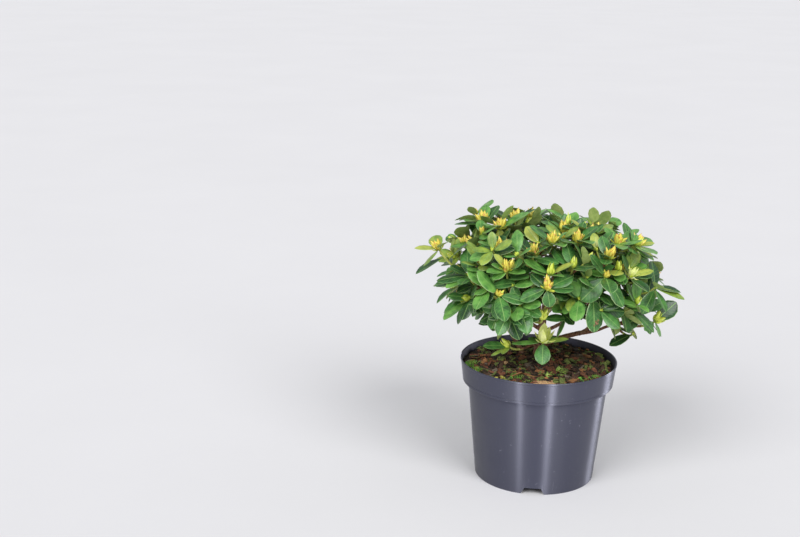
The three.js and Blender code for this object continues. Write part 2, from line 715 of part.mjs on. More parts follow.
// A limb cut clear of the limbs placed before it, which it grows out of, and flat at the mix.
function makeLimb(limb, earlier) {
  const shape = (margin) => toSolid(limbGeometry(
    limb.curve, limb.base + margin, limb.tip + margin, limb.sides, limb.steps, limb.flare));
  let solid = shape(0);
  for (const other of earlier) solid = solid.subtract(other.grown);
  limb.grown = shape(CLEARANCE);
  return toGeometry(solid.trimByPlane([0, 0, 1], MIX_CROWN_HEIGHT + CLEARANCE));
}

function addPiece(group, name, geometry, material) {
  const mesh = new THREE.Mesh(geometry, material);
  mesh.name = name;
  group.add(mesh);
}

const shrub = new THREE.Group();
addPiece(shrub, 'pot', makePot(), finish.pot);
addPiece(shrub, 'potting_mix', makePottingMix(), finish.mix);

const stems = planStems();
const masses = planMasses();
for (const mass of masses) planBough(mass, stems, masses);
limbs.forEach((limb, i) => addPiece(shrub, limb.name, makeLimb(limb, limbs.slice(0, i)), finish.bark));
growCrown(masses);
for (const mass of masses) {
  const fused = wasm.Manifold.union(mass.parts.map(toSolid));
  addPiece(shrub, mass.name, toGeometry(fused), finish.foliage);
}

export default shrub;
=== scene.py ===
# A compact azalea shrub in its round nursery pot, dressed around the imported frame.
#
# The plant is planned in millimetres, and its meshes are scaled to metres as they are made.
# Each mass of foliage grows on from its bough by the frame's own seeded rule: a stem, twigs
# to the shoots' tips, finer side twigs, rosettes of leaves and buds. A twig or leaf that
# would touch anything else is tried again and then left out.

import functools
import itertools
import math
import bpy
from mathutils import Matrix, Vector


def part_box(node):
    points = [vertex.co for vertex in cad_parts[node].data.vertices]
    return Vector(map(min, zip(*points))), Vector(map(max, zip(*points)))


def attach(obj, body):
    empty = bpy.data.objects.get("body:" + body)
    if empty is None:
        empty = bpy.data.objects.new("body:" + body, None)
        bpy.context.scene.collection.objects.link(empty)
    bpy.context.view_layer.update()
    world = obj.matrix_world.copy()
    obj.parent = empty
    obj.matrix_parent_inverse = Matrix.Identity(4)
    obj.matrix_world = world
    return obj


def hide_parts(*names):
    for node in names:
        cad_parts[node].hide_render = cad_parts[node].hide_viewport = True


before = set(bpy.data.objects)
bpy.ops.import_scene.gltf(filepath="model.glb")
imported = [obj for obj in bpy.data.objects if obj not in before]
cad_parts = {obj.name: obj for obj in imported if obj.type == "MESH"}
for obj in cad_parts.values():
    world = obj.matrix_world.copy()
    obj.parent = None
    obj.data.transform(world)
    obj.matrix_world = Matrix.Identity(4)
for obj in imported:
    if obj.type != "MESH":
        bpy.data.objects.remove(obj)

from types import SimpleNamespace

import bmesh
import bpy
import numpy as np
from bpy.props import FloatProperty, FloatVectorProperty, IntProperty, PointerProperty
from mathutils import Matrix, Quaternion, Vector, noise
from mathutils.bvhtree import BVHTree

bl_info = {
    "name": "Potted Azalea",
    "version": (1, 0, 0),
    "blender": (4, 5, 0),
    "location": "View3D > Sidebar > Azalea",
    "description": "Builds a compact azalea shrub in a nursery pot around its frame",
    "category": "Add Mesh",
}

MM = 0.001
TINY = 1e-6
UP = Vector((0, 0, 1))
GOLDEN_ANGLE = math.pi * (3 - math.sqrt(5))
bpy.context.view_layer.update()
MASS_NODES = sorted(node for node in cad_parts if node.startswith("foliage_"))
LIMB_NODES = sorted(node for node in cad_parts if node.split("_")[0] in ("trunk", "stem", "bough"))

# The pot, from its box in the frame: its rim, and how its wall is drawn in below the collar
POT_LOW, POT_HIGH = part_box("pot")
POT_HEIGHT = POT_HIGH.z / MM
RIM_RADIUS = POT_HIGH.x / MM
FOOT_RADIUS = 65.3
WALL = 1.5
FLOOR = 2
COLLAR_DEPTH = 25
COLLAR_STEP = 6
COLLAR_DRAFT = 3.2
WALL_TOP_RADIUS = RIM_RADIUS - COLLAR_DRAFT - COLLAR_STEP
FLOOR_DISC_RADIUS = 43
CHANNEL_RADIUS = 62
CHANNEL_HEIGHT = 8
NOTCHES = 4
NOTCH_FOOT_WIDTH = 25.4
NOTCH_TOP_WIDTH = 17.8
NOTCH_HEIGHT = 7.4
NOTCH_INNER_RADIUS = 58
FRONT_NOTCH_ANGLE = math.radians(-96.4)
RING_HEIGHT = 19

# Edges sharper than these angles in degrees stay sharp. A face of the pot that turns inward
# more than this belongs to its inner side
POT_SHARP = 28
MIX_SHARP = 70
CRUMB_SHARP = 40
MOSS_SHARP = 50
BARK_SHARP = 50
LEAF_SHARP = 60
INWARD = -0.3

# The potting mix
MIX_EDGE_HEIGHT = 124
MIX_CROWN_HEIGHT = 128
MIX_FLAT_RADIUS = 34
MIX_REACH = 80
MIX_RINGS = 46
MIX_STEPS = 160
CLEARANCE = 0.3

# The crown's dome, and the shoots' even spread over it
CROWN_MIDDLE = Vector((6, 6, 222))
CROWN_RADIUS = 101
CROWN_RISE = 54
CROWN_DROP = 46
CROWN_SHOULDER = 0.8
CROWN_SHOOTS = 50
LOWEST_SHOOT = -0.5
SHOOT_SPACING = 1.25
UNEVENNESS = 0.09
AZIMUTH_SWAY = 0.12
SHOOT_UPRIGHT = 0.75
TOP_UPRIGHT = 0.35
MASS_RINGS = [
    {"name": "foliage_top", "count": 3, "polar": 27, "first": -70, "reach": 0.86},
    {"name": "foliage_shoulder", "count": 6, "polar": 68, "first": -92, "reach": 0.84},
    {"name": "foliage_skirt", "count": 5, "polar": 104, "first": -128, "reach": 0.86},
]
OUTLYING_MASSES = {
    "foliage_front_low": (-8, -44, 152),
    "foliage_right_low": (112, -6, 178),
    "foliage_back_low": (-30, 100, 172),
}

# Shoots that the front view shows one by one, and the low ones that stand clear of the dome:
# each one's tip, lean and bud, how many of the rosette's leaves fill in, and its own leaves as
# (azimuth, elevation, length, width, tone), in degrees and millimetres
ALL = math.inf
NOTED_SHOOTS = [
    ((-2, -56, 169), (0.05, -0.25, 1), "opening", 0, [
        (-97, -46, 25, 17, "green"), (174, 2, 33, 8, "fresh"), (-2, 12, 27, 8, "olive"),
        (140, 14, 20, 8, "green"), (40, 14, 20, 8, "fresh")]),
    ((-5, -62, 196), (-0.05, -0.2, 1), "cones", 0, [
        (-8, 8, 24, 12, "green"), (190, 10, 24, 13, "green")]),
    ((-19, -66, 216), (-0.2, -0.4, 0.9), "small", 4, [
        (-150, -12, 26, 14, "green"), (30, 20, 22, 12, "deep")]),
    ((-36, -40, 158), (-0.75, -0.3, 0.75), "cone", 0, [
        (173, 4, 28, 14, "green"), (-154, -9, 23, 7, "olive"), (-118, -4, 20, 7, "olive")]),
    ((122, -12, 180), (0.6, -0.4, 0.75), "cones", 0, [
        (-60, -48, 18, 13, "fresh"), (10, 42, 32, 20, "deep"), (-150, -32, 15, 10, "fresh"),
        (165, 8, 24, 13, "green")]),
    ((98, -18, 167), (0.3, -0.5, 0.6), "small", 0, [
        (-168, -20, 28, 14, "deep"), (160, 30, 22, 14, "green")]),
    ((-44, -30, 184), (-0.3, -0.5, 0.7), "small", 2, [
        (12, -2, 27, 12, "green"), (178, -2, 25, 14, "deep")]),
    ((16, -46, 200), (0.2, -0.5, 0.7), "small", 1, [
        (2, 2, 24, 12, "green"), (-40, -25, 20, 13, "deep")]),
    ((104, -30, 196), (0.2, -0.4, 0.9), "cone", 0, [
        (-155, -36, 26, 16, "green"), (-60, -40, 26, 16, "green"), (20, 22, 28, 15, "green"),
        (175, 12, 24, 13, "deep"), (-100, -12, 18, 12, "fresh")]),
    ((118, 16, 190), (0.8, 0.3, 0.6), "cone", 4, [
        (-6, 6, 32, 14, "young")]),
    ((-24, 104, 178), (-0.1, 0.8, 0.6), "cone", ALL, []),
    ((-52, 92, 174), (-0.6, 0.6, 0.6), "tuft", ALL, []),
    ((-112, -20, 258), (-0.5, -0.1, 0.9), "cluster", 2, [
        (178, 6, 26, 11, "young"), (-150, -30, 25, 12, "olive")]),
    ((-81, -44, 236), (-0.35, -0.3, 0.9), "small", 3, [
        (111, 68, 29, 18, "green"), (179, -2, 34, 17, "deep"), (-160, -20, 28, 15, "fresh"),
        (0, 2, 20, 12, "green")]),
    ((-48, -40, 263), (-0.1, -0.2, 1), "cluster", 4, [
        (100, 35, 22, 17, "deep"), (150, 8, 22, 16, "deep")]),
    ((-44, -68, 249), (-0.1, -0.4, 1), "cluster", 4, [
        (-140, -15, 20, 12, "fresh")]),
    ((-17, -58, 263), (0, -0.3, 1), "cluster", 5, []),
    ((-62, -68, 231), (-0.25, -0.5, 0.8), "gold", 3, [
        (5, 18, 28, 13, "green"), (-136, -4, 20, 12, "fresh"), (-95, -38, 19, 13, "deep"),
        (60, 55, 16, 8, "fresh")]),
    ((-52, -80, 226), (0.1, -0.6, 0.7), "gold", 2, [
        (-15, -8, 27, 13, "green"), (-100, -50, 25, 15, "green")]),
    ((-4, -88, 236), (0.05, -0.5, 0.9), "cluster", 0, [
        (-178, -22, 30, 16, "green"), (12, 30, 30, 15, "green"), (2, 4, 28, 15, "green"),
        (-67, -62, 18, 14, "green"), (157, 42, 23, 13, "deep")]),
    ((23, -72, 254), (0.05, -0.3, 1), "cone", 4, []),
    ((-62, 38, 274), (-0.3, 0.1, 1), "cluster", 5, []),
    ((-46, 16, 273), (-0.1, -0.1, 1), "cluster", 3, [
        (-97, -45, 20, 16, "young")]),
    ((-28, 38, 277), (-0.1, 0.1, 1), "cluster", 5, []),
    ((4, -44, 272), (0, -0.2, 1), "cluster", 5, []),
    ((30, -40, 273), (0.1, -0.2, 1), "cluster", 4, [
        (-40, -38, 27, 13, "deep")]),
    ((48, -12, 272), (0.1, 0, 1), "cluster", 4, [
        (8, 50, 19, 9, "green")]),
    ((60, -62, 262), (0.1, -0.3, 1), "cluster", 3, []),
    ((72, -36, 271), (0.25, -0.2, 1), "cluster", 4, []),
    ((94, -24, 266), (0.5, -0.1, 0.9), "cluster", 4, [
        (-4, 16, 20, 9, "young"), (-24, -14, 21, 9, "young")]),
    ((84, -58, 242), (0.4, -0.4, 0.8), "tuft", 3, [
        (2, 18, 25, 9, "young")]),
    ((56, -76, 246), (0.1, -0.6, 0.8), "gold", 2, [
        (-173, -44, 35, 23, "green"), (-32, -46, 35, 17, "green"), (166, 18, 18, 9, "fresh")]),
    ((44, -76, 226), (0.1, -0.7, 0.4), "small", 0, [
        (-72, -72, 38, 21, "scarred")]),
    ((92, -60, 214), (0.3, -0.5, 0.8), "cone", 4, []),
    ((112, -50, 228), (0.6, -0.3, 0.8), "small", 2, [
        (85, 42, 35, 17, "deep"), (-128, -55, 30, 18, "green"), (-55, -45, 28, 17, "green"),
        (-8, -6, 33, 12, "olive")]),
]
NOTED_ROOM = 25

# Blotches on the scarred leaf: how far along it, how far across it, and their size
SCARS = [(0.74, 0.14, 2.9), (0.68, 0.22, 1.5), (0.81, 0.0, 1.1)]

# The low front and right are open: no other shoot's tip lies in these boxes
OPEN_PLACES = [
    ((-60, -120, 120), (45, -30, 206)),
    ((60, -120, 120), (130, -20, 188)),
]

# Trunk and stems
TRUNK = {"path": [(3, 26, 120), (4, 25, 136), (6, 24, 146)], "base": 8, "tip": 5.4}
STEMS = [
    {"path": [(-11, 27, 120), (-24, 19, 146), (-42, 6, 176)], "base": 3, "tip": 2.3},
    {"path": [(5, 22, 142), (2, 2, 156), (-2, -24, 176)], "base": 3, "tip": 2.2},
    {"path": [(8, 24, 141), (30, 19, 151), (50, 14, 158)], "base": 3.4, "tip": 2.5},
    {"path": [(5, 27, 142), (6, 46, 156), (4, 66, 180)], "base": 3, "tip": 2.2},
    {"path": [(6, 24, 146), (6, 20, 176), (8, 16, 206)], "base": 4, "tip": 2.8},
]
ROOT_FLARE = 0.25
FORK_SWELL = 0.35
LIMB_UNEVENNESS = 0.06

# Boughs: from a fork to the entry, where the mass's stem takes over and runs on to its hub
BOUGH_BASE = 2.2
BOUGH_TIP = 1.6
BOUGH_BEND = 0.4
BOUGH_RISE = 0.25
FORK_SPACING = 0.13
ENTRY_SHARE = 0.36
LAST_ENTRY_SHARE = 0.62
ENTRY_STEP = 0.03
HUB_SHARE = 0.72

# Twigs, and the finer side twigs that they carry
TWIG_BASE = 1.5
TWIG_TIP = 1.1
TWIG_BENDS = (0.45, 0.3, 0.6, 0.15)
TWIG_TRESPASS = 8
FIRST_TWIG = 0.45
LAST_TWIG = 0.98
SIDE_TWIG_BASE = 1.1
SIDE_TWIG_TIP = 0.9
SIDE_TWIG_LENGTH = (17, 27)
SIDE_TWIG_ROOM = 10
SIDE_TWIG_BEND = 0.4
SIDE_TWIG_TURN = 1.1
SIDE_TWIG_SHARE = (0.25, 0.8)
SIDE_TWIG_REACH = 1.02
SIDE_TWIG_RISE = 1.08
LOWEST_SIDE_TWIG = 150
SIDE_LEAF_SIZE = 0.85
TESTED_STEPS = 4

# How far along its length a twig is brown: all of it in a stem, and less in the finer ones
STEM_BROWN = 2.0
TWIG_BROWN = 0.55
SIDE_TWIG_BROWN = 0.25

# A side twig's lean and the way to its tip: shares of the twig's axis, of outward and of up
SIDE_TWIG_LEAN = (0.8, 0.6, 0.35)
SIDE_TWIG_WAY = (0.55, 0.75, 0.2)

# Leaves. Their thin parts are drawn for a leaf of the middling length
LEAF_LENGTH = 31
LEAF_TRESPASS = 16
LEAF_LENGTH_SPREAD = 0.2
LEAF_THICKNESS = 0.5
LEAF_ROOT = 0.4
LEAF_WEIGHT = 0.12
LEAF_SUNWARD = 0.6
LEAF_FLOOR = 131
LEAF_TAPER = 0.85
LEAF_OBOVATE = 0.12
LEAF_POINT = 0.55
STALK_SHARE = 0.12
STALK_WIDTH = 1.7
MARGIN_WIDTH = 0.4
MIDRIB_WIDTH = 0.7
MIDRIB_DIP = 0.6
LEAF_ROWS = 7
UPPER_LEAVES_FROM = 235
ROSETTE_SPACING = 0.9
ROSETTE_SPREAD = (0.82, 1.05)
ROSETTE_OPENING = 0.075
OLD_SPACING = 5.5
OLD_SPREAD = (1.1, 1.4)
LOWEST_LEAF_SHARE = 0.12
LEAF_TRIES = 10
TRY_TURN = 0.14
TRY_CHANGE = 0.045
NOTED_WANDER = 3
NOTED_TILT = 0.8
NOTED_CLEARANCE = 0.25
NOTED_ROD = (0.3, 0.8)
LEAF_WIDTH_SPREAD = (0.88, 1.14)

# The lines along a leaf, as shares of half its width: its edge, the inner side of its margin,
# halfway, and the side of its midrib
EDGE_LINE = 1
MARGIN_LINE = 0.95
HALFWAY_LINE = 0.5
MIDRIB_LINE = 0.1
RIGHT_LINES = [MIDRIB_LINE, HALFWAY_LINE, MARGIN_LINE, EDGE_LINE]
UPPER_LINES = [-line for line in reversed(RIGHT_LINES)] + RIGHT_LINES
UNDER_LINES = [-EDGE_LINE, 0, EDGE_LINE]

# Buds. Flower buds get more common from the first height up
FLOWERING_START = 182
FLOWERING_DEPTH = 75
FEWEST_FLOWERING = 0.15
MOST_FLOWERING = 0.85
CONE_SHARE = 0.6
SIDE_BUDS = ("small", "gold", "small", "cone")

# The key lights: each one's name, direction and share of their strength. Softness is in degrees
KEY_LIGHTS = [
    ("key_left", (-0.9, -1.2, 1.2), 0.55),
    ("key_right", (0.8, -1.3, 1.2), 0.55),
]
KEY_SOFTNESS = 35

# The strip lamps round the pot, in metres: each one's name, azimuth, width and share of their power
STRIP_DISTANCE = 1.5
STRIP_LENGTH = 0.65
STRIP_LAMPS = [
    ("left_strip", -121, 0.18, 1.25),
    ("front_strip", -75, 0.2, 1.95),
    ("right_strip", 24, 0.4, 1.6),
    ("back_strip", 106, 0.14, 0.35),
]
LAMP_COLOUR = "#e6e8ff"
SKY_COLOUR = "#f1f3f7"
FLOOR_RADIUS = 16

# Camera: where the lens is, how far it looks down and how far it is rolled
CAMERA_PLACE = Vector((-0.1526, -1.3575, 0.5928))
CAMERA_PITCH = math.radians(14.937)
CAMERA_ROLL = math.radians(0.9395)
CAMERA_LENS = 58.98
CAMERA_REACH = 60
SENSOR_WIDTH = 36


def linear(code):
    """The linear RGBA colour of an sRGB hex code such as #8a5a3c."""
    parts = [int(code[i:i + 2], 16) / 255 for i in (1, 3, 5)]
    return tuple(c / 12.92 if c <= 0.04045 else ((c + 0.055) / 1.055) ** 2.4 for c in parts) + (1.0,)


class PotSettings(bpy.types.PropertyGroup):
    steps: IntProperty(name="Steps", description="Steps round the pot's wall", default=144, min=24)
    colour: FloatVectorProperty(
        name="Plastic", description="Colour of the pot's plastic", subtype="COLOR",
        size=4, min=0, max=1, default=linear("#2d2e38"))


class MixSettings(bpy.types.PropertyGroup):
    crumbs: IntProperty(name="Crumbs", description="Peat crumbs on the surface", default=2000, min=0)
    chips: IntProperty(name="Chips", description="Bark chips on the surface", default=760, min=0)
    fibres: IntProperty(
        name="Fibres", description="Fibres and slivers on the surface", default=220, min=0)


class CrownSettings(bpy.types.PropertyGroup):
    rosette_leaves: IntProperty(
        name="Rosette leaves", description="Leaves in the rosette under each bud", default=7, min=1)
    old_leaves: IntProperty(
        name="Old leaves", description="Older leaves lower on each twig", default=6, min=0)
    side_twigs: IntProperty(
        name="Side twigs", description="Finer twigs that each twig may carry", default=5, min=0)
    leaf_length: FloatProperty(
        name="Leaf length", description="Length of a middling leaf", unit="LENGTH",
        default=LEAF_LENGTH * MM)
    leaf_width_share: FloatProperty(
        name="Leaf width", description="Width of a leaf as a share of its length", default=0.54)


class StageSettings(bpy.types.PropertyGroup):
    key: FloatProperty(name="Key lights", description="Strength that the key lights share", default=3.0)
    strips: FloatProperty(
        name="Strip lamps", description="Power of a strip lamp", subtype="POWER", default=12)
    sky: FloatProperty(name="Sky", description="Strength of the light from all round", default=0.5)


def add_node(material, kind, settings=None, inputs=None):
    """Adds a node with its settings, and sets its inputs to values or links them to outputs."""
    node = material.node_tree.nodes.new(kind)
    for name, value in (settings or {}).items():
        setattr(node, name, value)
    for name, value in (inputs or {}).items():
        if isinstance(value, bpy.types.NodeSocket):
            material.node_tree.links.new(value, node.inputs[name])
        else:
            node.inputs[name].default_value = value
    return node


# Input and output numbers of a Mix node that mixes colours
MIX_A = 6
MIX_B = 7
MIX_RESULT = 2


def new_material(name, colour, roughness, **sockets):
    """A material with a plain shader. Returns it with its shader node and Object coordinates."""
    material = bpy.data.materials.new(name)
    material.use_nodes = True
    material.diffuse_color = colour
    shader = material.node_tree.nodes["Principled BSDF"]
    shader.inputs["Base Color"].default_value = colour
    shader.inputs["Roughness"].default_value = roughness
    for socket, value in sockets.items():
        shader.inputs[socket.replace("_", " ")].default_value = value
    place = add_node(material, "ShaderNodeTexCoord").outputs["Object"]
    return material, shader, place


def mottle(material, place, light, dark, grain):
    """A pattern with grains of a real size in mm, and a colour that wanders with it."""
    pattern = add_node(material, "ShaderNodeTexNoise", None, {
        "Vector": place, "Scale": 1 / (grain * MM), "Detail": 4.0, "Roughness": 0.6})
    share = add_node(material, "ShaderNodeMapRange", None, {
        "Value": pattern.outputs["Fac"], "From Min": 0.35, "From Max": 0.65})
    colour = add_node(material, "ShaderNodeMix", {"data_type": "RGBA"}, {
        "Factor": share.outputs["Result"], MIX_A: linear(dark), MIX_B: linear(light)})
    return pattern.outputs["Fac"], colour.outputs[MIX_RESULT]


def mottled(name, light, dark, grain, roughness, bump=0.0):
    """A material of two shades in grains, with a relief whose full depth is in millimetres."""
    material, shader, place = new_material(name, linear(light), roughness)
    pattern, colour = mottle(material, place, light, dark, grain)
    material.node_tree.links.new(colour, shader.inputs["Base Color"])
    if bump:
        relief = add_node(material, "ShaderNodeBump", None, {
            "Height": pattern, "Strength": 1.0, "Distance": bump * MM})
        material.node_tree.links.new(relief.outputs["Normal"], shader.inputs["Normal"])
    return material


# Geometry helpers

def random_from(seed):
    """A seeded source of even numbers from 0 to 1, the same on every run."""
    modulus = 2147483647
    state = (seed * 7919 + 104729) % modulus

    def draw():
        nonlocal state
        state = state * 48271 % modulus
        return state / modulus

    draw()
    draw()
    return draw


def between(random, low, high):
    """A number drawn evenly from low to high."""
    return low + (high - low) * random()


def frozen(bm):
    """A bmesh as arrays that copies can be made from: places, faces, materials and UVs."""
    bm.verts.index_update()
    places = np.array([v.co for v in bm.verts])
    faces = [[v.index for v in face.verts] for face in bm.faces]
    finishes = [face.material_index for face in bm.faces]
    layer = bm.loops.layers.uv.active
    uvs = [tuple(loop[layer].uv) if layer else (0.0, 0.0) for face in bm.faces for loop in face.loops]
    bm.free()
    return SimpleNamespace(places=places, faces=faces, finishes=finishes, uvs=uvs)


def copy_of(pattern, matrix, finishes=None):
    """A copy of a pattern, moved by a matrix in millimetres, with its materials renumbered."""
    moved = pattern.places @ np.array(matrix.to_3x3()).T + np.array(matrix.translation)
    numbers = pattern.finishes if finishes is None else [finishes[n] for n in pattern.finishes]
    return SimpleNamespace(places=moved, faces=pattern.faces, finishes=numbers, uvs=pattern.uvs)


def merged(parts):
    """Several patterns as one."""
    firsts = itertools.accumulate((len(part.places) for part in parts), initial=0)
    return SimpleNamespace(
        places=np.concatenate([part.places for part in parts]),
        faces=[[first + n for n in face] for first, part in zip(firsts, parts) for face in part.faces],
        finishes=[n for part in parts for n in part.finishes],
        uvs=[uv for part in parts for uv in part.uvs])


def joined(name, copies, materials, nodes, sharp):
    """One piece in metres from many copies in millimetres."""
    whole = merged(copies)
    mesh = bpy.data.meshes.new(name)
    mesh.from_pydata(whole.places * MM, [], whole.faces)
    mesh.polygons.foreach_set("material_index", whole.finishes)
    layer = mesh.uv_layers.new(name="UVMap")
    layer.data.foreach_set("uv", np.array(whole.uvs, dtype=np.float32).ravel())
    return placed(name, mesh, materials, nodes, sharp)


def placed(name, mesh, materials, nodes, sharp):
    """Makes a mesh a piece of the object that rides on its body and replaces nodes."""
    for material in materials:
        mesh.materials.append(material)
    smoothed(mesh, sharp)
    piece = linked(name, mesh)
    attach(piece, "root")
    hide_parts(*nodes)
    return piece


def smoothed(mesh, sharp):
    """Shades a mesh smooth, apart from edges sharper than an angle in degrees."""
    mesh.shade_smooth()
    mesh.set_sharp_from_angle(angle=math.radians(sharp))
    mesh.update()


def linked(name, data):
    """A new object of the scene."""
    item = bpy.data.objects.new(name, data)
    bpy.context.scene.collection.objects.link(item)
    return item


def to_mesh(bm, name):
    """A bmesh in millimetres as a mesh in metres."""
    bmesh.ops.scale(bm, vec=(MM, MM, MM), verts=bm.verts)
    mesh = bpy.data.meshes.new(name)
    bm.to_mesh(mesh)
    bm.free()
    return mesh


def turned(profile, steps):
    """A profile of (radius, height) pairs spun round Z. It starts and ends on the axis."""
    bm = bmesh.new()
    chain = [bm.verts.new((radius, 0, height)) for radius, height in profile]
    for a, b in zip(chain, chain[1:]):
        bm.edges.new((a, b))
    bmesh.ops.spin(
        bm, geom=bm.verts[:] + bm.edges[:], cent=(0, 0, 0), axis=(0, 0, 1),
        angle=2 * math.pi, steps=steps, use_merge=True, use_duplicate=False)
    bmesh.ops.remove_doubles(bm, verts=bm.verts, dist=1e-4)
    bmesh.ops.recalc_face_normals(bm, faces=bm.faces)
    return bm


class Bend:
    """A quadratic curve through three control points."""

    def __init__(self, start, control, end):
        self.points = (start, control, end)

    def at(self, share):
        a, b, c = self.points
        rest = 1 - share
        return a * rest * rest + b * 2 * rest * share + c * share * share

    def heading(self, share):
        a, b, c = self.points
        return ((b - a) * (1 - share) + (c - b) * share).normalized()

    def length(self):
        steps = [self.at(i / 8) for i in range(9)]
        return sum((b - a).length for a, b in zip(steps, steps[1:]))


def bend_to(start, end, arriving, pull):
    """A bend from one point to another that arrives in a given direction."""
    return Bend(start, end - arriving * pull * (end - start).length, end)


def bend_through(path):
    """A bend through the middle one of three points."""
    start, middle, end = [Vector(point) for point in path]
    return Bend(start, middle * 2 - (start + end) / 2, end)


def limb_pattern(curve, base, tip, sides, steps, finish_of=None, swell=None):
    """A closed tapering tube along a curve."""
    bm = bmesh.new()
    bmesh.ops.create_cone(bm, cap_ends=True, segments=sides, radius1=1, radius2=1, depth=2)
    rails = [edge for edge in bm.edges if abs(edge.verts[0].co.z - edge.verts[1].co.z) > 1]
    bmesh.ops.subdivide_edges(bm, edges=rails, cuts=steps - 1)
    across = curve.heading(0).orthogonal().normalized()
    frames = []
    for step in range(steps + 1):
        heading = curve.heading(step / steps)
        across = (across - heading * across.dot(heading)).normalized()
        frames.append((curve.at(step / steps), across, heading.cross(across)))
    for vert in bm.verts:
        share = (vert.co.z + 1) / 2
        middle, side, other = frames[round(share * steps)]
        radius = base + (tip - base) * share
        if swell:
            radius *= swell(share, middle)
        vert.co = middle + side * (vert.co.x * radius) + other * (vert.co.y * radius)
    if finish_of:
        for face in bm.faces:
            face.material_index = finish_of(face.calc_center_median())
    return frozen(bm)


def frame_matrix(place, along, up, size):
    """A matrix that takes +X to along and +Z as near to up as it can."""
    x = along.normalized()
    y = up.cross(x).normalized()
    z = x.cross(y)
    turn = Matrix((x, y, z)).transposed().to_4x4()
    return Matrix.Translation(place) @ turn @ Matrix.Diagonal(size.to_4d())


# The pot

def pot_inside(margin):
    """The inside of the pot, from the middle of its floor up to the rim."""
    collar_foot = POT_HEIGHT - COLLAR_DEPTH
    channel_top = CHANNEL_HEIGHT + WALL
    draft = (WALL_TOP_RADIUS - FOOT_RADIUS) / (collar_foot - 1)
    return [
        (0, FLOOR + margin),
        (FLOOR_DISC_RADIUS - 1 - margin, FLOOR + margin),
        (FLOOR_DISC_RADIUS + 1 - margin, channel_top + margin),
        (FOOT_RADIUS - WALL + draft * channel_top - margin, channel_top + margin),
        (WALL_TOP_RADIUS - WALL - margin, collar_foot - 1),
        (RIM_RADIUS - COLLAR_DRAFT - WALL - margin, collar_foot + 2),
        (RIM_RADIUS - WALL - margin, POT_HEIGHT),
    ]


def pot_profile():
    """The pot's section: a rolled lip, a drafted collar with a fine line, and the wall."""
    collar_foot = POT_HEIGHT - COLLAR_DEPTH
    collar_radius = RIM_RADIUS - COLLAR_DRAFT
    draft = (WALL_TOP_RADIUS - FOOT_RADIUS) / (collar_foot - 1)
    inside = pot_inside(0)[:-1]
    lip = [
        (RIM_RADIUS - WALL, POT_HEIGHT - 0.6),
        (RIM_RADIUS - 0.9, POT_HEIGHT),
        (RIM_RADIUS - 0.4, POT_HEIGHT),
        (RIM_RADIUS, POT_HEIGHT - 0.5),
        (RIM_RADIUS, POT_HEIGHT - 1.9),
        (RIM_RADIUS - 0.6, POT_HEIGHT - 2.5),
    ]
    collar = [
        (collar_radius + 0.3, collar_foot + 3.4),
        (collar_radius - 0.1, collar_foot + 3.1),
        (collar_radius + 0.2, collar_foot + 2.8),
        (collar_radius, collar_foot + 0.5),
        (collar_radius - 0.5, collar_foot),
        (WALL_TOP_RADIUS + 0.5, collar_foot - 0.7),
        (WALL_TOP_RADIUS, collar_foot - 1.4),
    ]
    wall = [
        (FOOT_RADIUS + draft * (RING_HEIGHT + 0.6), RING_HEIGHT + 0.6),
        (FOOT_RADIUS + draft * RING_HEIGHT - 0.22, RING_HEIGHT),
        (FOOT_RADIUS + 0.1, 0.8),
        (FOOT_RADIUS - 0.4, 0),
        (FOOT_RADIUS - WALL + 0.3, 0),
        (FOOT_RADIUS - WALL, 0.5),
        (CHANNEL_RADIUS, CHANNEL_HEIGHT),
        (FLOOR_DISC_RADIUS + 1.5, CHANNEL_HEIGHT),
        (FLOOR_DISC_RADIUS, 0.3),
        (FLOOR_DISC_RADIUS - 0.6, 0),
        (0, 0),
    ]
    return inside + lip + collar + wall


def notch_cutter():
    """Four trapezoid blocks that cut the drainage notches out of the foot."""
    bm = bmesh.new()
    flare = (NOTCH_FOOT_WIDTH - NOTCH_TOP_WIDTH) / (2 * NOTCH_HEIGHT)
    for i in range(NOTCHES):
        angle = FRONT_NOTCH_ANGLE + i * 2 * math.pi / NOTCHES
        made = bmesh.ops.create_cube(bm, size=2)
        for vert in made["verts"]:
            half = NOTCH_TOP_WIDTH / 2 if vert.co.z > 0 else NOTCH_FOOT_WIDTH / 2 + flare
            height = NOTCH_HEIGHT if vert.co.z > 0 else -1
            radius = FOOT_RADIUS + NOTCH_HEIGHT if vert.co.x > 0 else NOTCH_INNER_RADIUS
            vert.co = Vector((radius, vert.co.y * half, height))
        bmesh.ops.rotate(bm, verts=made["verts"], cent=(0, 0, 0), matrix=Matrix.Rotation(angle, 3, "Z"))
    return linked("notch_cutter", to_mesh(bm, "notch_cutter"))


def applied(piece):
    """Gives the piece its modifiers' result as its own mesh, and removes the modifiers."""
    graph = bpy.context.evaluated_depsgraph_get()
    mesh = bpy.data.meshes.new_from_object(piece.evaluated_get(graph), depsgraph=graph)
    old = piece.data
    piece.modifiers.clear()
    piece.data = mesh
    bpy.data.meshes.remove(old)


# The plastic's pattern in millimetres: its cloudy patches, its fine streaks across and along,
# a streak's depth, and a speck of dust
CLOUD_SIZE = 45
STREAK_SIZE = (2.2, 2.2, 30)
STREAK_DEPTH = 0.05
SPECK_SIZE = 5


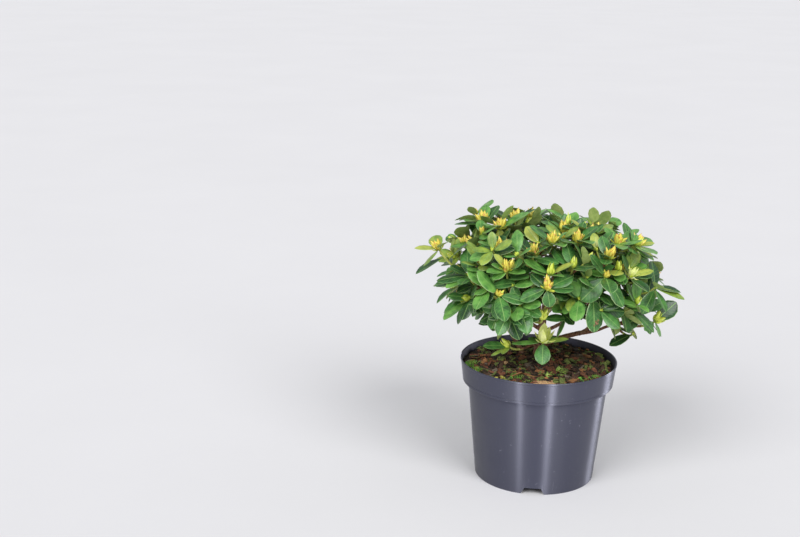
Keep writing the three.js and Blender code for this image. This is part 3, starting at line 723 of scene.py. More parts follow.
def pot_material(colour):
    # Polypropylene from a mould whose core and cavity were turned on a lathe: fine rings round
    # the wall draw each highlight out into a soft upright streak. Handling has dulled it in
    # patches and left fine pale scuffs, and some dust clings to it.
    material, shader, place = new_material(
        "moulded polypropylene", colour, 0.38, Anisotropic=1.0, Specular_IOR_Level=0.55)
    links = material.node_tree.links
    upright = add_node(material, "ShaderNodeCombineXYZ", None, {"Z": 1.0})
    links.new(upright.outputs["Vector"], shader.inputs["Tangent"])
    cloud = add_node(material, "ShaderNodeTexNoise", None, {
        "Vector": place, "Scale": 1 / (CLOUD_SIZE * MM), "Detail": 5.0, "Roughness": 0.65})
    dull = add_node(material, "ShaderNodeMapRange", None, {
        "Value": cloud.outputs["Fac"], "From Min": 0.3, "From Max": 0.75, "To Min": 0.34, "To Max": 0.42})
    links.new(dull.outputs["Result"], shader.inputs["Roughness"])
    stretched = add_node(material, "ShaderNodeMapping", None, {
        "Vector": place, "Scale": [1 / (size * MM) for size in STREAK_SIZE]})
    streak = add_node(material, "ShaderNodeTexNoise", None, {
        "Vector": stretched.outputs["Vector"], "Scale": 1.0, "Detail": 3.0})
    scuff = add_node(material, "ShaderNodeMapRange", None, {
        "Value": streak.outputs["Fac"], "From Min": 0.68, "From Max": 0.8, "To Max": 0.2})
    speck = add_node(material, "ShaderNodeTexNoise", None, {
        "Vector": place, "Scale": 1 / (SPECK_SIZE * MM), "Detail": 2.0})
    dust = add_node(material, "ShaderNodeMapRange", None, {
        "Value": speck.outputs["Fac"], "From Min": 0.7, "From Max": 0.76, "To Max": 0.25})
    marks = add_node(material, "ShaderNodeMath", {"operation": "MAXIMUM"}, {
        0: scuff.outputs["Result"], 1: dust.outputs["Result"]})
    worn = add_node(material, "ShaderNodeMix", {"data_type": "RGBA"}, {
        "Factor": marks.outputs["Value"], MIX_A: tuple(colour), MIX_B: linear("#7b7a80")})
    links.new(worn.outputs[MIX_RESULT], shader.inputs["Base Color"])
    relief = add_node(material, "ShaderNodeBump", None, {
        "Height": streak.outputs["Fac"], "Strength": 0.35, "Distance": STREAK_DEPTH * MM})
    links.new(relief.outputs["Normal"], shader.inputs["Normal"])
    return material


class AZALEA_OT_pot(bpy.types.Operator):
    """Build the moulded nursery pot with its collar, lip and drainage notches"""
    bl_idname = "azalea.pot"
    bl_label = "Pot"

    def execute(self, context):
        settings = context.scene.azalea_pot
        mesh = to_mesh(turned(pot_profile(), settings.steps), "pot_shell")
        # The mould's core is left coarser than its cavity, so the inside is dull, and peat
        # dust clings to it. Its darker colour is partly painted shade, the shade inside the pot
        inside = mottled("polypropylene, dull inner side, painted shade", "#2b2b31", "#1d1c1f", 14, 0.6, bump=0.1)
        finishes = [pot_material(settings.colour), inside]
        pot = placed("pot_shell", mesh, finishes, ["pot"], POT_SHARP)
        cutter = notch_cutter()
        cut = pot.modifiers.new("notches", "BOOLEAN")
        cut.operation = "DIFFERENCE"
        cut.solver = "EXACT"
        cut.object = cutter
        applied(pot)
        bpy.data.objects.remove(cutter)
        for face in pot.data.polygons:
            outward = Vector((face.center.x, face.center.y, 0)).normalized()
            if face.normal.dot(outward) < INWARD:
                face.material_index = finishes.index(inside)
        smoothed(pot.data, POT_SHARP)
        return {"FINISHED"}


# The potting mix

def mix_height(x, y):
    """The surface of the mix in millimetres: a low mound with lumps and hollows."""
    radius = math.hypot(x, y)
    inner = RIM_RADIUS - WALL - CLEARANCE
    fall = max(0, (radius - MIX_FLAT_RADIUS) / (inner - MIX_FLAT_RADIUS))
    mound = MIX_CROWN_HEIGHT - (MIX_CROWN_HEIGHT - MIX_EDGE_HEIGHT) * fall ** 1.3
    lumps = 1.3 * noise.noise(Vector((x, y, 0)) / 17) + 0.7 * noise.noise(Vector((x, y, 40)) / 6)
    return mound + lumps


def mix_surface():
    """The mix as one closed solid: its underside follows the pot, and its top is uneven."""
    inside = pot_inside(CLEARANCE + 0.1)
    rim = inside.pop()
    shoulder = inside[-1]
    share = (MIX_EDGE_HEIGHT - shoulder[1]) / (rim[1] - shoulder[1])
    edge = shoulder[0] + share * (rim[0] - shoulder[0])
    top = [(edge * i / MIX_RINGS, MIX_EDGE_HEIGHT + 1) for i in range(MIX_RINGS, -1, -1)]
    bm = turned(inside + top, MIX_STEPS)
    for vert in bm.verts:
        if vert.co.z > MIX_EDGE_HEIGHT:
            vert.co.z = mix_height(vert.co.x, vert.co.y)
    return bm


def crumb_pattern(seed):
    """A crumb of peat: a small lumpy grain."""
    random = random_from(seed)
    bm = bmesh.new()
    bmesh.ops.create_icosphere(bm, subdivisions=1, radius=1)
    for vert in bm.verts:
        vert.co *= between(random, 0.65, 1.15)
    return frozen(bm)


def chip_pattern(seed):
    """A flake of bark: a flat block with broken, splintered edges."""
    random = random_from(seed)
    bm = bmesh.new()
    bmesh.ops.create_cube(bm, size=2)
    rails = [edge for edge in bm.edges if abs(edge.verts[0].co.x - edge.verts[1].co.x) > 1]
    bmesh.ops.subdivide_edges(bm, edges=rails, cuts=2)
    for vert in bm.verts:
        narrow = 1 - 0.45 * abs(vert.co.x) ** 2 * random()
        vert.co.y *= narrow
        vert.co.z *= between(random, 0.5, 1.1)
        vert.co += Vector((between(random, -0.2, 0.2), between(random, -0.25, 0.25), 0))
        vert.co.z += 0.35 * vert.co.x * vert.co.x * between(random, 0, 1)
    bmesh.ops.recalc_face_normals(bm, faces=bm.faces)
    return frozen(bm)


def fibre_pattern(seed):
    """A sliver or a bit of root, bent along its length."""
    random = random_from(seed)
    sway = Vector((0, between(random, -6, 6), between(random, 0, 3)))
    return limb_pattern(Bend(Vector((-10, 0, 0)), sway, Vector((10, 0, 0))), 0.55, 0.25, 4, 4)


def scattered(random, reach):
    """An even place on the surface of the mix, within a reach of the middle."""
    radius = reach * math.sqrt(random())
    angle = 2 * math.pi * random()
    x = radius * math.cos(angle)
    y = radius * math.sin(angle)
    return Vector((x, y, mix_height(x, y)))


def tumbled(random, place, size, tilt):
    """A matrix that lays a pattern down with some tilt."""
    spin = Quaternion(UP, 2 * math.pi * random())
    axis = Vector((between(random, -1, 1), between(random, -1, 1), 0.01)).normalized()
    turn = Quaternion(axis, between(random, 0, tilt)) @ spin
    return Matrix.Translation(place) @ turn.to_matrix().to_4x4() @ Matrix.Diagonal(size.to_4d())


MIX_FINISHES = [
    ("moist peat", "#3b2b1f", "#16100b"),
    ("dark composted bark", "#5e4331", "#281b13"),
    ("red-brown pine bark", "#8c563d", "#462a1a"),
    ("fresh bark inside", "#ae7a4c", "#6e452b"),
    ("tan leaf litter", "#dcb487", "#a07852"),
    ("grey-brown wood", "#827565", "#483f35"),
    ("algae-green bark", "#7e8a46", "#475129"),
]

# How the finishes are dealt out, as the draw up to which each one comes
CRUMB_SHARES = (0.52, 0.73, 0.82, 0.84, 0.85, 0.89, 1.0)
CHIP_SHARES = (0.2, 0.43, 0.64, 0.68, 0.7, 0.79, 1.0)

# Bits of litter that lie loose on the mix: place, size, turn and finish
LITTER = [
    ((-3, -67), (9, 4.5, 1.2), 0.1, "tan leaf litter"),
    ((6, -68), (6, 3, 1), 2.6, "tan leaf litter"),
    ((31, -58), (5, 2.6, 1), 0.9, "fresh bark inside"),
    ((-52, 20), (13, 1.6, 1.2), 0.35, "fresh bark inside"),
    ((-47, 14), (9, 1.4, 1), -0.2, "red-brown pine bark"),
    ((-40, 4), (5, 4, 1), 1.2, "algae-green bark"),
    ((10, -28), (7, 4, 1.3), 0.5, "red-brown pine bark"),
    ((58, 22), (8, 2.4, 1), -0.7, "fresh bark inside"),
]


def pick(shares, draw):
    """The number of the finish that a draw gives."""
    return next(i for i, share in enumerate(shares) if draw <= share)


class AZALEA_OT_mix(bpy.types.Operator):
    """Build the potting mix: its uneven surface with crumbs, bark chips, fibres and litter"""
    bl_idname = "azalea.mix"
    bl_label = "Potting mix"

    def execute(self, context):
        settings = context.scene.azalea_mix
        # Peat is matt and nearly black when moist, with lighter dry grains about a millimetre across.
        # The bed is darkened further as painted shade in the gaps between the chips and crumbs
        peat = mottled("moist peat bed, painted gap shade", "#2e2118", "#0f0a07", 2.5, 0.92, bump=0.6)
        bed = to_mesh(mix_surface(), "mix_bed")
        placed("mix_bed", bed, [peat], ["potting_mix"], MIX_SHARP)
        # Bark and peat break into matt flakes whose colour shifts every few millimetres
        finishes = [
            mottled(name, light, dark, 1.6, 0.85, bump=0.15) for name, light, dark in MIX_FINISHES]
        names = [name for name, light, dark in MIX_FINISHES]
        random = random_from(5)
        crumbs = [crumb_pattern(70 + i) for i in range(6)]
        chips = [chip_pattern(80 + i) for i in range(8)]
        fibres = [fibre_pattern(90 + i) for i in range(5)]
        parts = []
        for i in range(settings.crumbs):
            grain = 0.6 + 1.5 * random() ** 2.2
            place = scattered(random, MIX_REACH + 0.5 - grain) + UP * 0.15 * grain
            size = Vector((grain * between(random, 0.8, 1.5), grain, grain * 0.8))
            matrix = tumbled(random, place, size, 3)
            parts.append(copy_of(crumbs[i % len(crumbs)], matrix, [pick(CRUMB_SHARES, random())]))
        joined("mix_crumbs", parts, finishes, ["potting_mix"], CRUMB_SHARP)
        parts = []
        for i in range(settings.chips):
            length = 1.6 + 5 * random() ** 1.6
            place = scattered(random, MIX_REACH - length) + UP * between(random, 0.6, 2)
            size = Vector((length, length * between(random, 0.35, 0.7), between(random, 0.4, 0.9)))
            finish = pick(CHIP_SHARES, random())
            parts.append(copy_of(chips[i % len(chips)], tumbled(random, place, size, 0.75), [finish]))
        for i, ((x, y), size, turn, finish) in enumerate(LITTER):
            spin = Matrix.Rotation(turn, 4, "Z") @ Matrix.Diagonal((*size, 1))
            place = Matrix.Translation((x, y, mix_height(x, y) + 1.8))
            parts.append(copy_of(chips[i % len(chips)], place @ spin, [names.index(finish)]))
        for i in range(settings.fibres):
            grain = between(random, 0.25, 0.75)
            place = scattered(random, MIX_REACH - 11 * grain) + UP * 0.7
            finish = pick(CHIP_SHARES, random())
            matrix = tumbled(random, place, Vector((grain, grain, 1)), 0.16)
            parts.append(copy_of(fibres[i % len(fibres)], matrix, [finish]))
        joined("mix_chips", parts, finishes, ["potting_mix"], CRUMB_SHARP)
        return {"FINISHED"}


MOSS, LIVERWORT, YELLOWED_MOSS = range(3)

# Moss tufts and patches of small green lobes on the mix: place, radius, and height and number of
# blades, or number and finish of lobes
MOSS_TUFTS = [
    ((-72, -8), 8, 6, 260),
    ((-68, -26), 7, 5, 200),
    ((-27, -48), 7, 4, 160),
    ((-16, -60), 6, 3.4, 110),
    ((12, -44), 7, 3.4, 120),
    ((42, -60), 7, 3.4, 130),
    ((57, -44), 8, 3.6, 170),
    ((68, -22), 6, 3.4, 120),
    ((74, 6), 5, 3, 60),
    ((62, 41), 6, 3, 60),
    ((-52, 52), 7, 3, 70),
    ((8, 70), 6, 3, 60),
]
LOBE_PATCHES = [
    ((18, -36), 8, 12, LIVERWORT),
    ((8, -46), 6, 8, LIVERWORT),
    ((66, 30), 9, 14, LIVERWORT),
    ((-40, 2), 4, 5, YELLOWED_MOSS),
    ((45, -52), 7, 8, MOSS),
    ((-46, -48), 7, 7, YELLOWED_MOSS),
    ((-18, 64), 8, 9, LIVERWORT),
]


def blade_pattern():
    """A moss shoot: a slim three-sided point."""
    bm = bmesh.new()
    bmesh.ops.create_cone(bm, cap_ends=True, segments=3, radius1=0.16, radius2=0.03, depth=1)
    bmesh.ops.translate(bm, verts=bm.verts, vec=(0, 0, 0.45))
    return frozen(bm)


def lobe_pattern():
    """A small fleshy lobe, cupped a little and thin at its edge."""
    bm = bmesh.new()
    bmesh.ops.create_icosphere(bm, subdivisions=2, radius=1)
    for vert in bm.verts:
        cup = 0.35 * (vert.co.x ** 2 + vert.co.y ** 2)
        vert.co.z = vert.co.z * 0.16 + cup
    return frozen(bm)


def in_patch(random, middle, radius):
    """A place in a round patch of the mix, with how far out it lies and at which angle."""
    share = math.sqrt(random())
    angle = 2 * math.pi * random()
    x = middle[0] + radius * share * math.cos(angle)
    y = middle[1] + radius * share * math.sin(angle)
    return x, y, share, angle


class AZALEA_OT_moss(bpy.types.Operator):
    """Build the moss tufts and small green lobes that grow on the mix"""
    bl_idname = "azalea.moss"
    bl_label = "Moss"

    def execute(self, context):
        # Moss is soft and matt, bright where it is moist and duller in between
        finishes = [
            mottled("moss", "#86c452", "#48872e", 1.5, 0.7),
            mottled("liverwort", "#b4cc6a", "#6c8c40", 2.0, 0.5),
            mottled("yellowed moss", "#d4cc68", "#928c40", 2.0, 0.7),
        ]
        random = random_from(11)
        blade = blade_pattern()
        lobe = lobe_pattern()
        parts = []
        for middle, radius, height, blades in MOSS_TUFTS:
            for i in range(blades):
                x, y, share, angle = in_patch(random, middle, radius)
                if math.hypot(x, y) > MIX_REACH - 0.5:
                    continue
                outward = Vector((math.cos(angle), math.sin(angle), 0)) * share * 0.7
                sway = Vector((between(random, -0.3, 0.3), between(random, -0.3, 0.3), 0))
                tall = height * between(random, 0.6, 1.1) * (1.1 - 0.5 * share * share)
                turn = (UP + outward + sway).normalized().to_track_quat("Z", "X").to_matrix().to_4x4()
                place = Matrix.Translation((x, y, mix_height(x, y) - 0.3))
                size = Matrix.Diagonal((2.2, 2.2, tall, 1))
                finish = MOSS if random() < 0.85 else YELLOWED_MOSS
                parts.append(copy_of(blade, place @ turn @ size, [finish]))
        for middle, radius, lobes, finish in LOBE_PATCHES:
            for i in range(lobes):
                x, y, share, angle = in_patch(random, middle, radius)
                wide = between(random, 1.4, 3)
                if math.hypot(x, y) + wide > MIX_REACH:
                    continue
                place = Vector((x, y, mix_height(x, y) + between(random, 0.8, 2.2)))
                matrix = tumbled(random, place, Vector((wide, wide * between(random, 0.6, 1), wide)), 0.7)
                parts.append(copy_of(lobe, matrix, [finish]))
        joined("moss", parts, finishes, ["potting_mix"], MOSS_SHARP)
        return {"FINISHED"}


# The crown's plan, by the same rule as the frame's solids

def dome_point(polar, azimuth, reach):
    """A point on the dome: polar is the angle down from its top, reach a share of its size."""
    level = math.cos(polar)
    side = math.sin(polar) ** CROWN_SHOULDER
    height = math.copysign(abs(level) ** CROWN_SHOULDER, level)
    return CROWN_MIDDLE + Vector((
        reach * CROWN_RADIUS * side * math.cos(azimuth),
        reach * CROWN_RADIUS * side * math.sin(azimuth),
        reach * (CROWN_RISE if level > 0 else CROWN_DROP) * height))


def in_open_place(tip):
    """Whether a shoot's tip would lie where the photo shows the plant open."""
    return any(all(a < part < b for a, part, b in zip(low, tip, high)) for low, high in OPEN_PLACES)


def bud_kind(random, height):
    """Flower buds crown the upper shoots. Leaf buds and tufts come more often lower down."""
    share = random()
    flowering = (height - FLOWERING_START) / FLOWERING_DEPTH
    flowering = min(max(flowering, FEWEST_FLOWERING), MOST_FLOWERING)
    if share < flowering:
        return "cluster"
    return "cone" if share < flowering + (1 - flowering) * CONE_SHARE else "tuft"


def shoot_at(tip, lean, bud, phase, seed, leaf=1.0, leaves=(), fill=ALL):
    """A shoot: its tip, lean and bud, its leaves' size, and the leaves that it names one by one."""
    return SimpleNamespace(
        tip=tip, lean=lean, bud=bud, phase=phase, seed=seed, leaf=leaf, leaves=leaves, fill=fill)


def noted_shoots():
    """The shoots that are placed one by one."""
    return [shoot_at(
        Vector(tip), Vector(lean).normalized(), bud, GOLDEN_ANGLE * i,
        (CROWN_SHOOTS + i + 11) * 1000, 1.0, leaves, fill)
        for i, (tip, lean, bud, fill, leaves) in enumerate(NOTED_SHOOTS)]


def dome_shoots(taken):
    """The shoots that the golden angle spreads over the dome, where none is placed already."""
    shoots = []
    for i in range(CROWN_SHOOTS):
        random = random_from(i + 1)
        level = 1 - (1 - LOWEST_SHOOT) * ((i + 0.5) / CROWN_SHOOTS) ** SHOOT_SPACING
        reach = 1 + between(random, -UNEVENNESS, UNEVENNESS)
        azimuth = i * GOLDEN_ANGLE + between(random, -AZIMUTH_SWAY, AZIMUTH_SWAY)
        tip = dome_point(math.acos(level), azimuth, reach)
        lean = Vector((tip.x - CROWN_MIDDLE.x, tip.y - CROWN_MIDDLE.y, 0)) / CROWN_RADIUS
        lean = (lean + UP * (SHOOT_UPRIGHT + TOP_UPRIGHT * level)).normalized()
        bud = bud_kind(random, tip.z)
        seed = (i + 1) * 1000
        if all((other.tip - tip).length > NOTED_ROOM for other in taken) and not in_open_place(tip):
            shoots.append(shoot_at(tip, lean, bud, random_from(seed)() * 2 * math.pi, seed))
    return shoots


def plan_masses():
    """The masses with their centres and shoots. A shoot joins the mass whose centre is nearest."""
    masses = []
    for ring in MASS_RINGS:
        for i in range(ring["count"]):
            azimuth = math.radians(ring["first"] + i * 360 / ring["count"])
            centre = dome_point(math.radians(ring["polar"]), azimuth, ring["reach"])
            masses.append(SimpleNamespace(name=f"{ring['name']}_{i + 1}", centre=centre, shoots=[]))
    for name, centre in OUTLYING_MASSES.items():
        masses.append(SimpleNamespace(name=name, centre=Vector(centre), shoots=[]))
    noted = noted_shoots()
    for shoot in noted + dome_shoots(noted):
        min(masses, key=lambda mass: (mass.centre - shoot.tip).length).shoots.append(shoot)
    return [mass for mass in masses if mass.shoots]


def depth_in_cell(point, mass, masses):
    """How far a point lies inside its mass's cell, measured to the nearest wall."""
    depths = []
    for other in masses:
        if other is not mass:
            nearer = (point - other.centre).length_squared - (point - mass.centre).length_squared
            depths.append(nearer / (2 * (other.centre - mass.centre).length))
    return min(depths)


def plan_bough(mass, stems, masses):
    """A bough from the nearest stem, with the entry, heading and hub of the mass's own stem."""
    heart = sum((shoot.tip for shoot in mass.shoots), Vector()) / len(mass.shoots)
    heart = heart.lerp(mass.centre, 0.5)
    stem = min(stems, key=lambda limb: (limb.curve.at(1) - heart).length)
    start = stem.curve.at(1 - FORK_SPACING * stem.forks)
    stem.forks += 1
    share = ENTRY_SHARE
    entry = start.lerp(heart, share)
    while share < LAST_ENTRY_SHARE and depth_in_cell(entry, mass, masses) <= 2 * BOUGH_TIP:
        share += ENTRY_STEP
        entry = start.lerp(heart, share)
    heading = ((heart - entry).normalized() + UP * BOUGH_RISE).normalized()
    curve = bend_to(start, entry, heading, BOUGH_BEND)
    mass.entry = entry
    mass.heading = curve.heading(1)
    mass.hub = start.lerp(heart, HUB_SHARE)
    return SimpleNamespace(curve=curve, base=min(BOUGH_BASE, stem.tip), tip=BOUGH_TIP)


def segment_gaps(p, q, starts, ends):
    """The least distance between segment p-q and each of many segments."""
    along = q - p
    others = ends - starts
    apart = p - starts
    a = along @ along
    e = (others * others).sum(1)
    f = (others * apart).sum(1)
    c = apart @ along
    b = others @ along
    spread = a * e - b * b
    level = spread > 1e-9
    s = np.where(level, np.clip((b * f - c * e) / np.where(level, spread, 1), 0, 1), 0)
    t = (b * s + f) / e
    clipped = np.clip(t, 0, 1)
    s = np.where(t == clipped, s, np.clip((b * clipped - c) / a, 0, 1))
    gap = (p + s[:, None] * along) - (starts + clipped[:, None] * others)
    return np.sqrt((gap * gap).sum(1))


class Rods:
    """Limbs, twigs and buds as round rods, which leaves and later twigs keep clear of."""

    def __init__(self):
        self.starts = []
        self.ends = []
        self.radii = []
        self.owners = []
        self.arrays = None

    def add(self, start, end, radius, owner):
        self.starts.append(start)
        self.ends.append(end)
        self.radii.append(radius)
        self.owners.append(owner)
        self.arrays = None

    def add_curve(self, curve, base, tip, owner):
        for i in range(TESTED_STEPS):
            radius = base + (tip - base) * i / TESTED_STEPS
            self.add(curve.at(i / TESTED_STEPS), curve.at((i + 1) / TESTED_STEPS), radius, owner)

    def clear_of(self, start, end, radius, skipped):
        """Whether a rod from start to end keeps clear of all rods but the skipped owners'."""
        if self.arrays is None:
            facts = (self.starts, self.ends, self.radii, self.owners)
            self.arrays = [np.array(fact) for fact in facts]
        starts, ends, radii, owners = self.arrays
        keep = ~np.isin(owners, skipped)
        gaps = segment_gaps(np.array(start), np.array(end), starts[keep], ends[keep])
        return bool((gaps >= radii[keep] + radius + CLEARANCE).all())


def leaf_outline(share):
    """How far along a leaf a row lies and half its width there, as shares of length and width."""
    stalk_row = 1 / LEAF_ROWS
    if share < stalk_row + TINY:
        return STALK_SHARE * share / stalk_row, 0.0
    angle = math.pi * (share - stalk_row) / (1 - stalk_row)
    level = (1 - math.cos(angle)) / 2
    half = 0.5 * math.sin(angle) ** (1 + LEAF_POINT * level) * (1 + LEAF_OBOVATE * (level - 0.5))
    return STALK_SHARE + (1 - STALK_SHARE) * level ** LEAF_TAPER, max(half, 0.0)


# A leaf's coarse blade for the tests: rows as shares along it and of its width, its faces and
# the lines over it that keep clear of limbs and buds, by the numbers of its points, and how far
# it reaches from its middle
TEST_ROWS = [(0.16, 0.12), (0.4, 0.45), (0.75, 0.42), (0.99, 0.05)]
BLADE_FACES = [(0, 1, 3), (0, 3, 2), (2, 3, 5), (2, 5, 4), (4, 5, 7), (4, 7, 6)]
BLADE_LINES = [(2, 4), (4, 6), (3, 5), (5, 7), (0, 7), (2, 3), (4, 5)]
BLADE_REACH = 0.56


def leaf_along(root, heading, face, length, width, curl):
    """A leaf that grows from its root along a heading and turns its upper side to a face."""
    face = (face - heading * face.dot(heading)).normalized()
    return SimpleNamespace(
        foot=root - heading * LEAF_ROOT, heading=heading, face=face, side=face.cross(heading),
        length=length + LEAF_ROOT, width=width, curl=curl)


def pose_leaf(root, axis, turn, spread, length, width, curl):
    """A leaf set on a twig: turn is its angle round the twig, spread its angle from the axis."""
    start = UP if abs(axis.z) < 0.95 else Vector((1, 0, 0))
    outward = Quaternion(axis, turn) @ axis.cross(start).normalized()
    heading = axis * math.cos(spread) + outward * math.sin(spread)
    heading = (heading - UP * LEAF_WEIGHT).normalized()
    return leaf_along(root, heading, axis + UP * LEAF_SUNWARD, length, width, curl)


def blade_points(leaf):
    """The points of a leaf's coarse blade, two to a row."""
    points = []
    for along, half in TEST_ROWS:
        middle = leaf.foot + leaf.heading * along * leaf.length
        middle = middle - leaf.face * leaf.curl.droop * leaf.length * along * along
        for side in (-1, 1):
            lift = leaf.curl.cup * half * leaf.width
            points.append(middle + leaf.side * (side * half * leaf.width) + leaf.face * lift)
    return points


class Blades:
    """The leaves grown so far, which a new leaf keeps clear of."""

    def __init__(self):
        self.middles = []
        self.reaches = []
        self.trees = []

    def clear_of(self, middle, reach, tree):
        if not self.middles:
            return True
        apart = np.linalg.norm(np.array(self.middles) - np.array(middle), axis=1)
        near = np.nonzero(apart < np.array(self.reaches) + reach)[0]
        return not any(self.trees[i].overlap(tree) for i in near)

    def add(self, middle, reach, tree):
        self.middles.append(middle)
        self.reaches.append(reach)
        self.trees.append(tree)


# How leaves curl: each pattern's cup across, droop along and twist
LEAF_CURLS = [SimpleNamespace(cup=cup, droop=droop, twist=twist) for cup, droop, twist in [
    (0.1, 0.1, 0), (-0.08, 0.16, 0.1), (0.18, 0.04, -0.08),
    (0.04, 0.22, 0.06), (0.24, 0.12, -0.12), (-0.14, 0.06, 0.14)]]
NOTED_CURLS = 4


def blended(shares, axis, outward):
    """A direction made of shares of an axis, of outward and of up."""
    return (axis * shares[0] + outward * shares[1] + UP * shares[2]).normalized()


class Crown:
    """The grown crown: limbs, twigs, leaves and buds, all as plain facts to be meshed."""

    def __init__(self, rosette_leaves, old_leaves, side_twigs, leaf_length, leaf_width_share):
        self.leaf_length = leaf_length
        self.leaf_width_share = leaf_width_share
        self.rods = Rods()
        self.blades = Blades()
        self.twigs = []
        self.leaves = []
        self.shoots = []
        self.masses = plan_masses()
        self.limbs = self.plan_limbs()
        for number, limb in enumerate(self.limbs):
            self.rods.add_curve(limb.curve, limb.base, limb.tip, -1 - number)
        for mass in self.masses:
            self.grow_stem(mass)
        for mass in self.masses:
            mass.shoots.sort(key=lambda shoot: (shoot.tip - mass.entry).length)
            for rank, shoot in enumerate(mass.shoots):
                self.grow_twig(shoot, rank, mass)
        for shoot in self.shoots:
            self.grow_noted_leaves(shoot)
        for shoot in list(self.shoots):
            for i in range(side_twigs):
                self.grow_side_twig(shoot, i)
        for i in range(rosette_leaves + old_leaves):
            for shoot in self.shoots:
                if i < shoot.fill or (shoot.fill > 0 and i >= rosette_leaves):
                    self.grow_shoot_leaf(shoot, i, rosette_leaves)

    def plan_limbs(self):
        """The trunk, the stems and a bough for each mass."""
        trunk, *stems = [SimpleNamespace(
            curve=bend_through(limb["path"]), base=limb["base"], tip=limb["tip"], forks=0)
            for limb in [TRUNK] + STEMS]
        boughs = [plan_bough(mass, stems, self.masses) for mass in self.masses]
        return [trunk] + stems + boughs

    def grow_stem(self, mass):
        """The mass's own stem, from where its bough ends to the hub."""
        gap = (mass.hub - mass.entry).length
        mass.stem = Bend(mass.entry, mass.entry + mass.heading * BOUGH_BEND * gap, mass.hub)
        mass.number = 1 + self.masses.index(mass)
        self.rods.add_curve(mass.stem, BOUGH_TIP, TWIG_BASE, mass.number)
        self.twigs.append(SimpleNamespace(
            curve=mass.stem, base=BOUGH_TIP, tip=TWIG_BASE, brown=STEM_BROWN))

    def twig_fits(self, curve, mass, skipped):
        """Whether a twig stays near its mass's cell and clear of all rods but the skipped ones."""
        points = [curve.at(i / TESTED_STEPS) for i in range(TESTED_STEPS + 1)]
        if any(depth_in_cell(point, mass, self.masses) < -TWIG_TRESPASS for point in points):
            return False
        return all(self.rods.clear_of(a, b, TWIG_BASE, skipped) for a, b in zip(points, points[1:]))

    def add_shoot(self, shoot, curve, base, tip, mass, brown):
        """Adds a shoot and its twig, and keeps room for its bud."""
        shoot.twig = curve
        shoot.mass = mass
        shoot.number = 100 + len(self.shoots)
        self.rods.add_curve(curve, base, tip, shoot.number)
        length, radius = BUD_ROOM[shoot.bud]
        self.rods.add(shoot.tip, shoot.tip + shoot.lean * length, radius, shoot.number)
        self.twigs.append(SimpleNamespace(curve=curve, base=base, tip=tip, brown=brown))
        self.shoots.append(shoot)

    def grow_twig(self, shoot, rank, mass):
        """The twig to a planned shoot, bent in the first of the ways that fits."""
        share = FIRST_TWIG + (1 - FIRST_TWIG) * (rank + 1) / len(mass.shoots)
        start = mass.stem.at(share * LAST_TWIG)
        own = [other.number for other in self.shoots if other.mass is mass] + [mass.number]
        for pull in TWIG_BENDS:
            curve = bend_to(start, shoot.tip, shoot.lean, pull)
            if self.twig_fits(curve, mass, own):
                self.add_shoot(shoot, curve, TWIG_BASE, TWIG_TIP, mass, TWIG_BROWN)
                return

    def grow_side_twig(self, shoot, i):
        """A finer twig that leaves the shoot's twig part of the way along it."""
        random = random_from(shoot.seed + 7 + i)
        share = between(random, *SIDE_TWIG_SHARE)
        start = shoot.twig.at(share)
        axis = shoot.twig.heading(share)
        turn = shoot.phase + SIDE_TWIG_TURN + GOLDEN_ANGLE * i
        outward = Quaternion(axis, turn) @ axis.orthogonal().normalized()
        length = between(random, *SIDE_TWIG_LENGTH)
        lean = blended(SIDE_TWIG_LEAN, axis, outward)
        tip = start + blended(SIDE_TWIG_WAY, axis, outward) * length
        offset = tip - CROWN_MIDDLE
        height = offset.z / (CROWN_RISE if offset.z > 0 else CROWN_DROP)
        if math.hypot(offset.x, offset.y) > SIDE_TWIG_REACH * CROWN_RADIUS:
            return
        if abs(height) > SIDE_TWIG_RISE or tip.z < LOWEST_SIDE_TWIG or in_open_place(tip):
            return
        if any((other.tip - tip).length < SIDE_TWIG_ROOM for other in self.shoots):
            return
        curve = bend_to(start, tip, lean, SIDE_TWIG_BEND)
        if not self.twig_fits(curve, shoot.mass, [shoot.number, shoot.mass.number]):
            return
        bud = SIDE_BUDS[int(random() * len(SIDE_BUDS))]
        phase = random() * 2 * math.pi
        side = shoot_at(tip, lean, bud, phase, shoot.seed + 300 + 100 * i, SIDE_LEAF_SIZE)
        self.add_shoot(side, curve, SIDE_TWIG_BASE, SIDE_TWIG_TIP, shoot.mass, SIDE_TWIG_BROWN)

    def leaf_fits(self, leaf, shoot):
        """The leaf's middle, reach and coarse blade where it touches nothing, or None."""
        points = blade_points(leaf)
        if any(point.z < LEAF_FLOOR for point in points):
            return None
        if any(depth_in_cell(point, shoot.mass, self.masses) < -LEAF_TRESPASS for point in points[2:]):
            return None
        half = LEAF_THICKNESS / 2
        lines = [(points[a], points[b]) for a, b in BLADE_LINES]
        if not all(self.rods.clear_of(a, b, half, [shoot.number]) for a, b in lines):
            return None
        middle = (points[2] + points[5]) / 2
        reach = BLADE_REACH * leaf.length
        tree = BVHTree.FromPolygons(points, BLADE_FACES, epsilon=CLEARANCE)
        if not self.blades.clear_of(middle, reach, tree):
            return None
        return middle, reach, tree

    def keep(self, fit, leaf, shoot, rank, old, curl_number, tone=None):
        """Adds a leaf that fits to the crown, with what its mesh and colours depend on."""
        self.blades.add(*fit)
        vars(leaf).update(shoot=shoot, rank=rank, old=old, curl_number=curl_number, tone=tone)
        self.leaves.append(leaf)

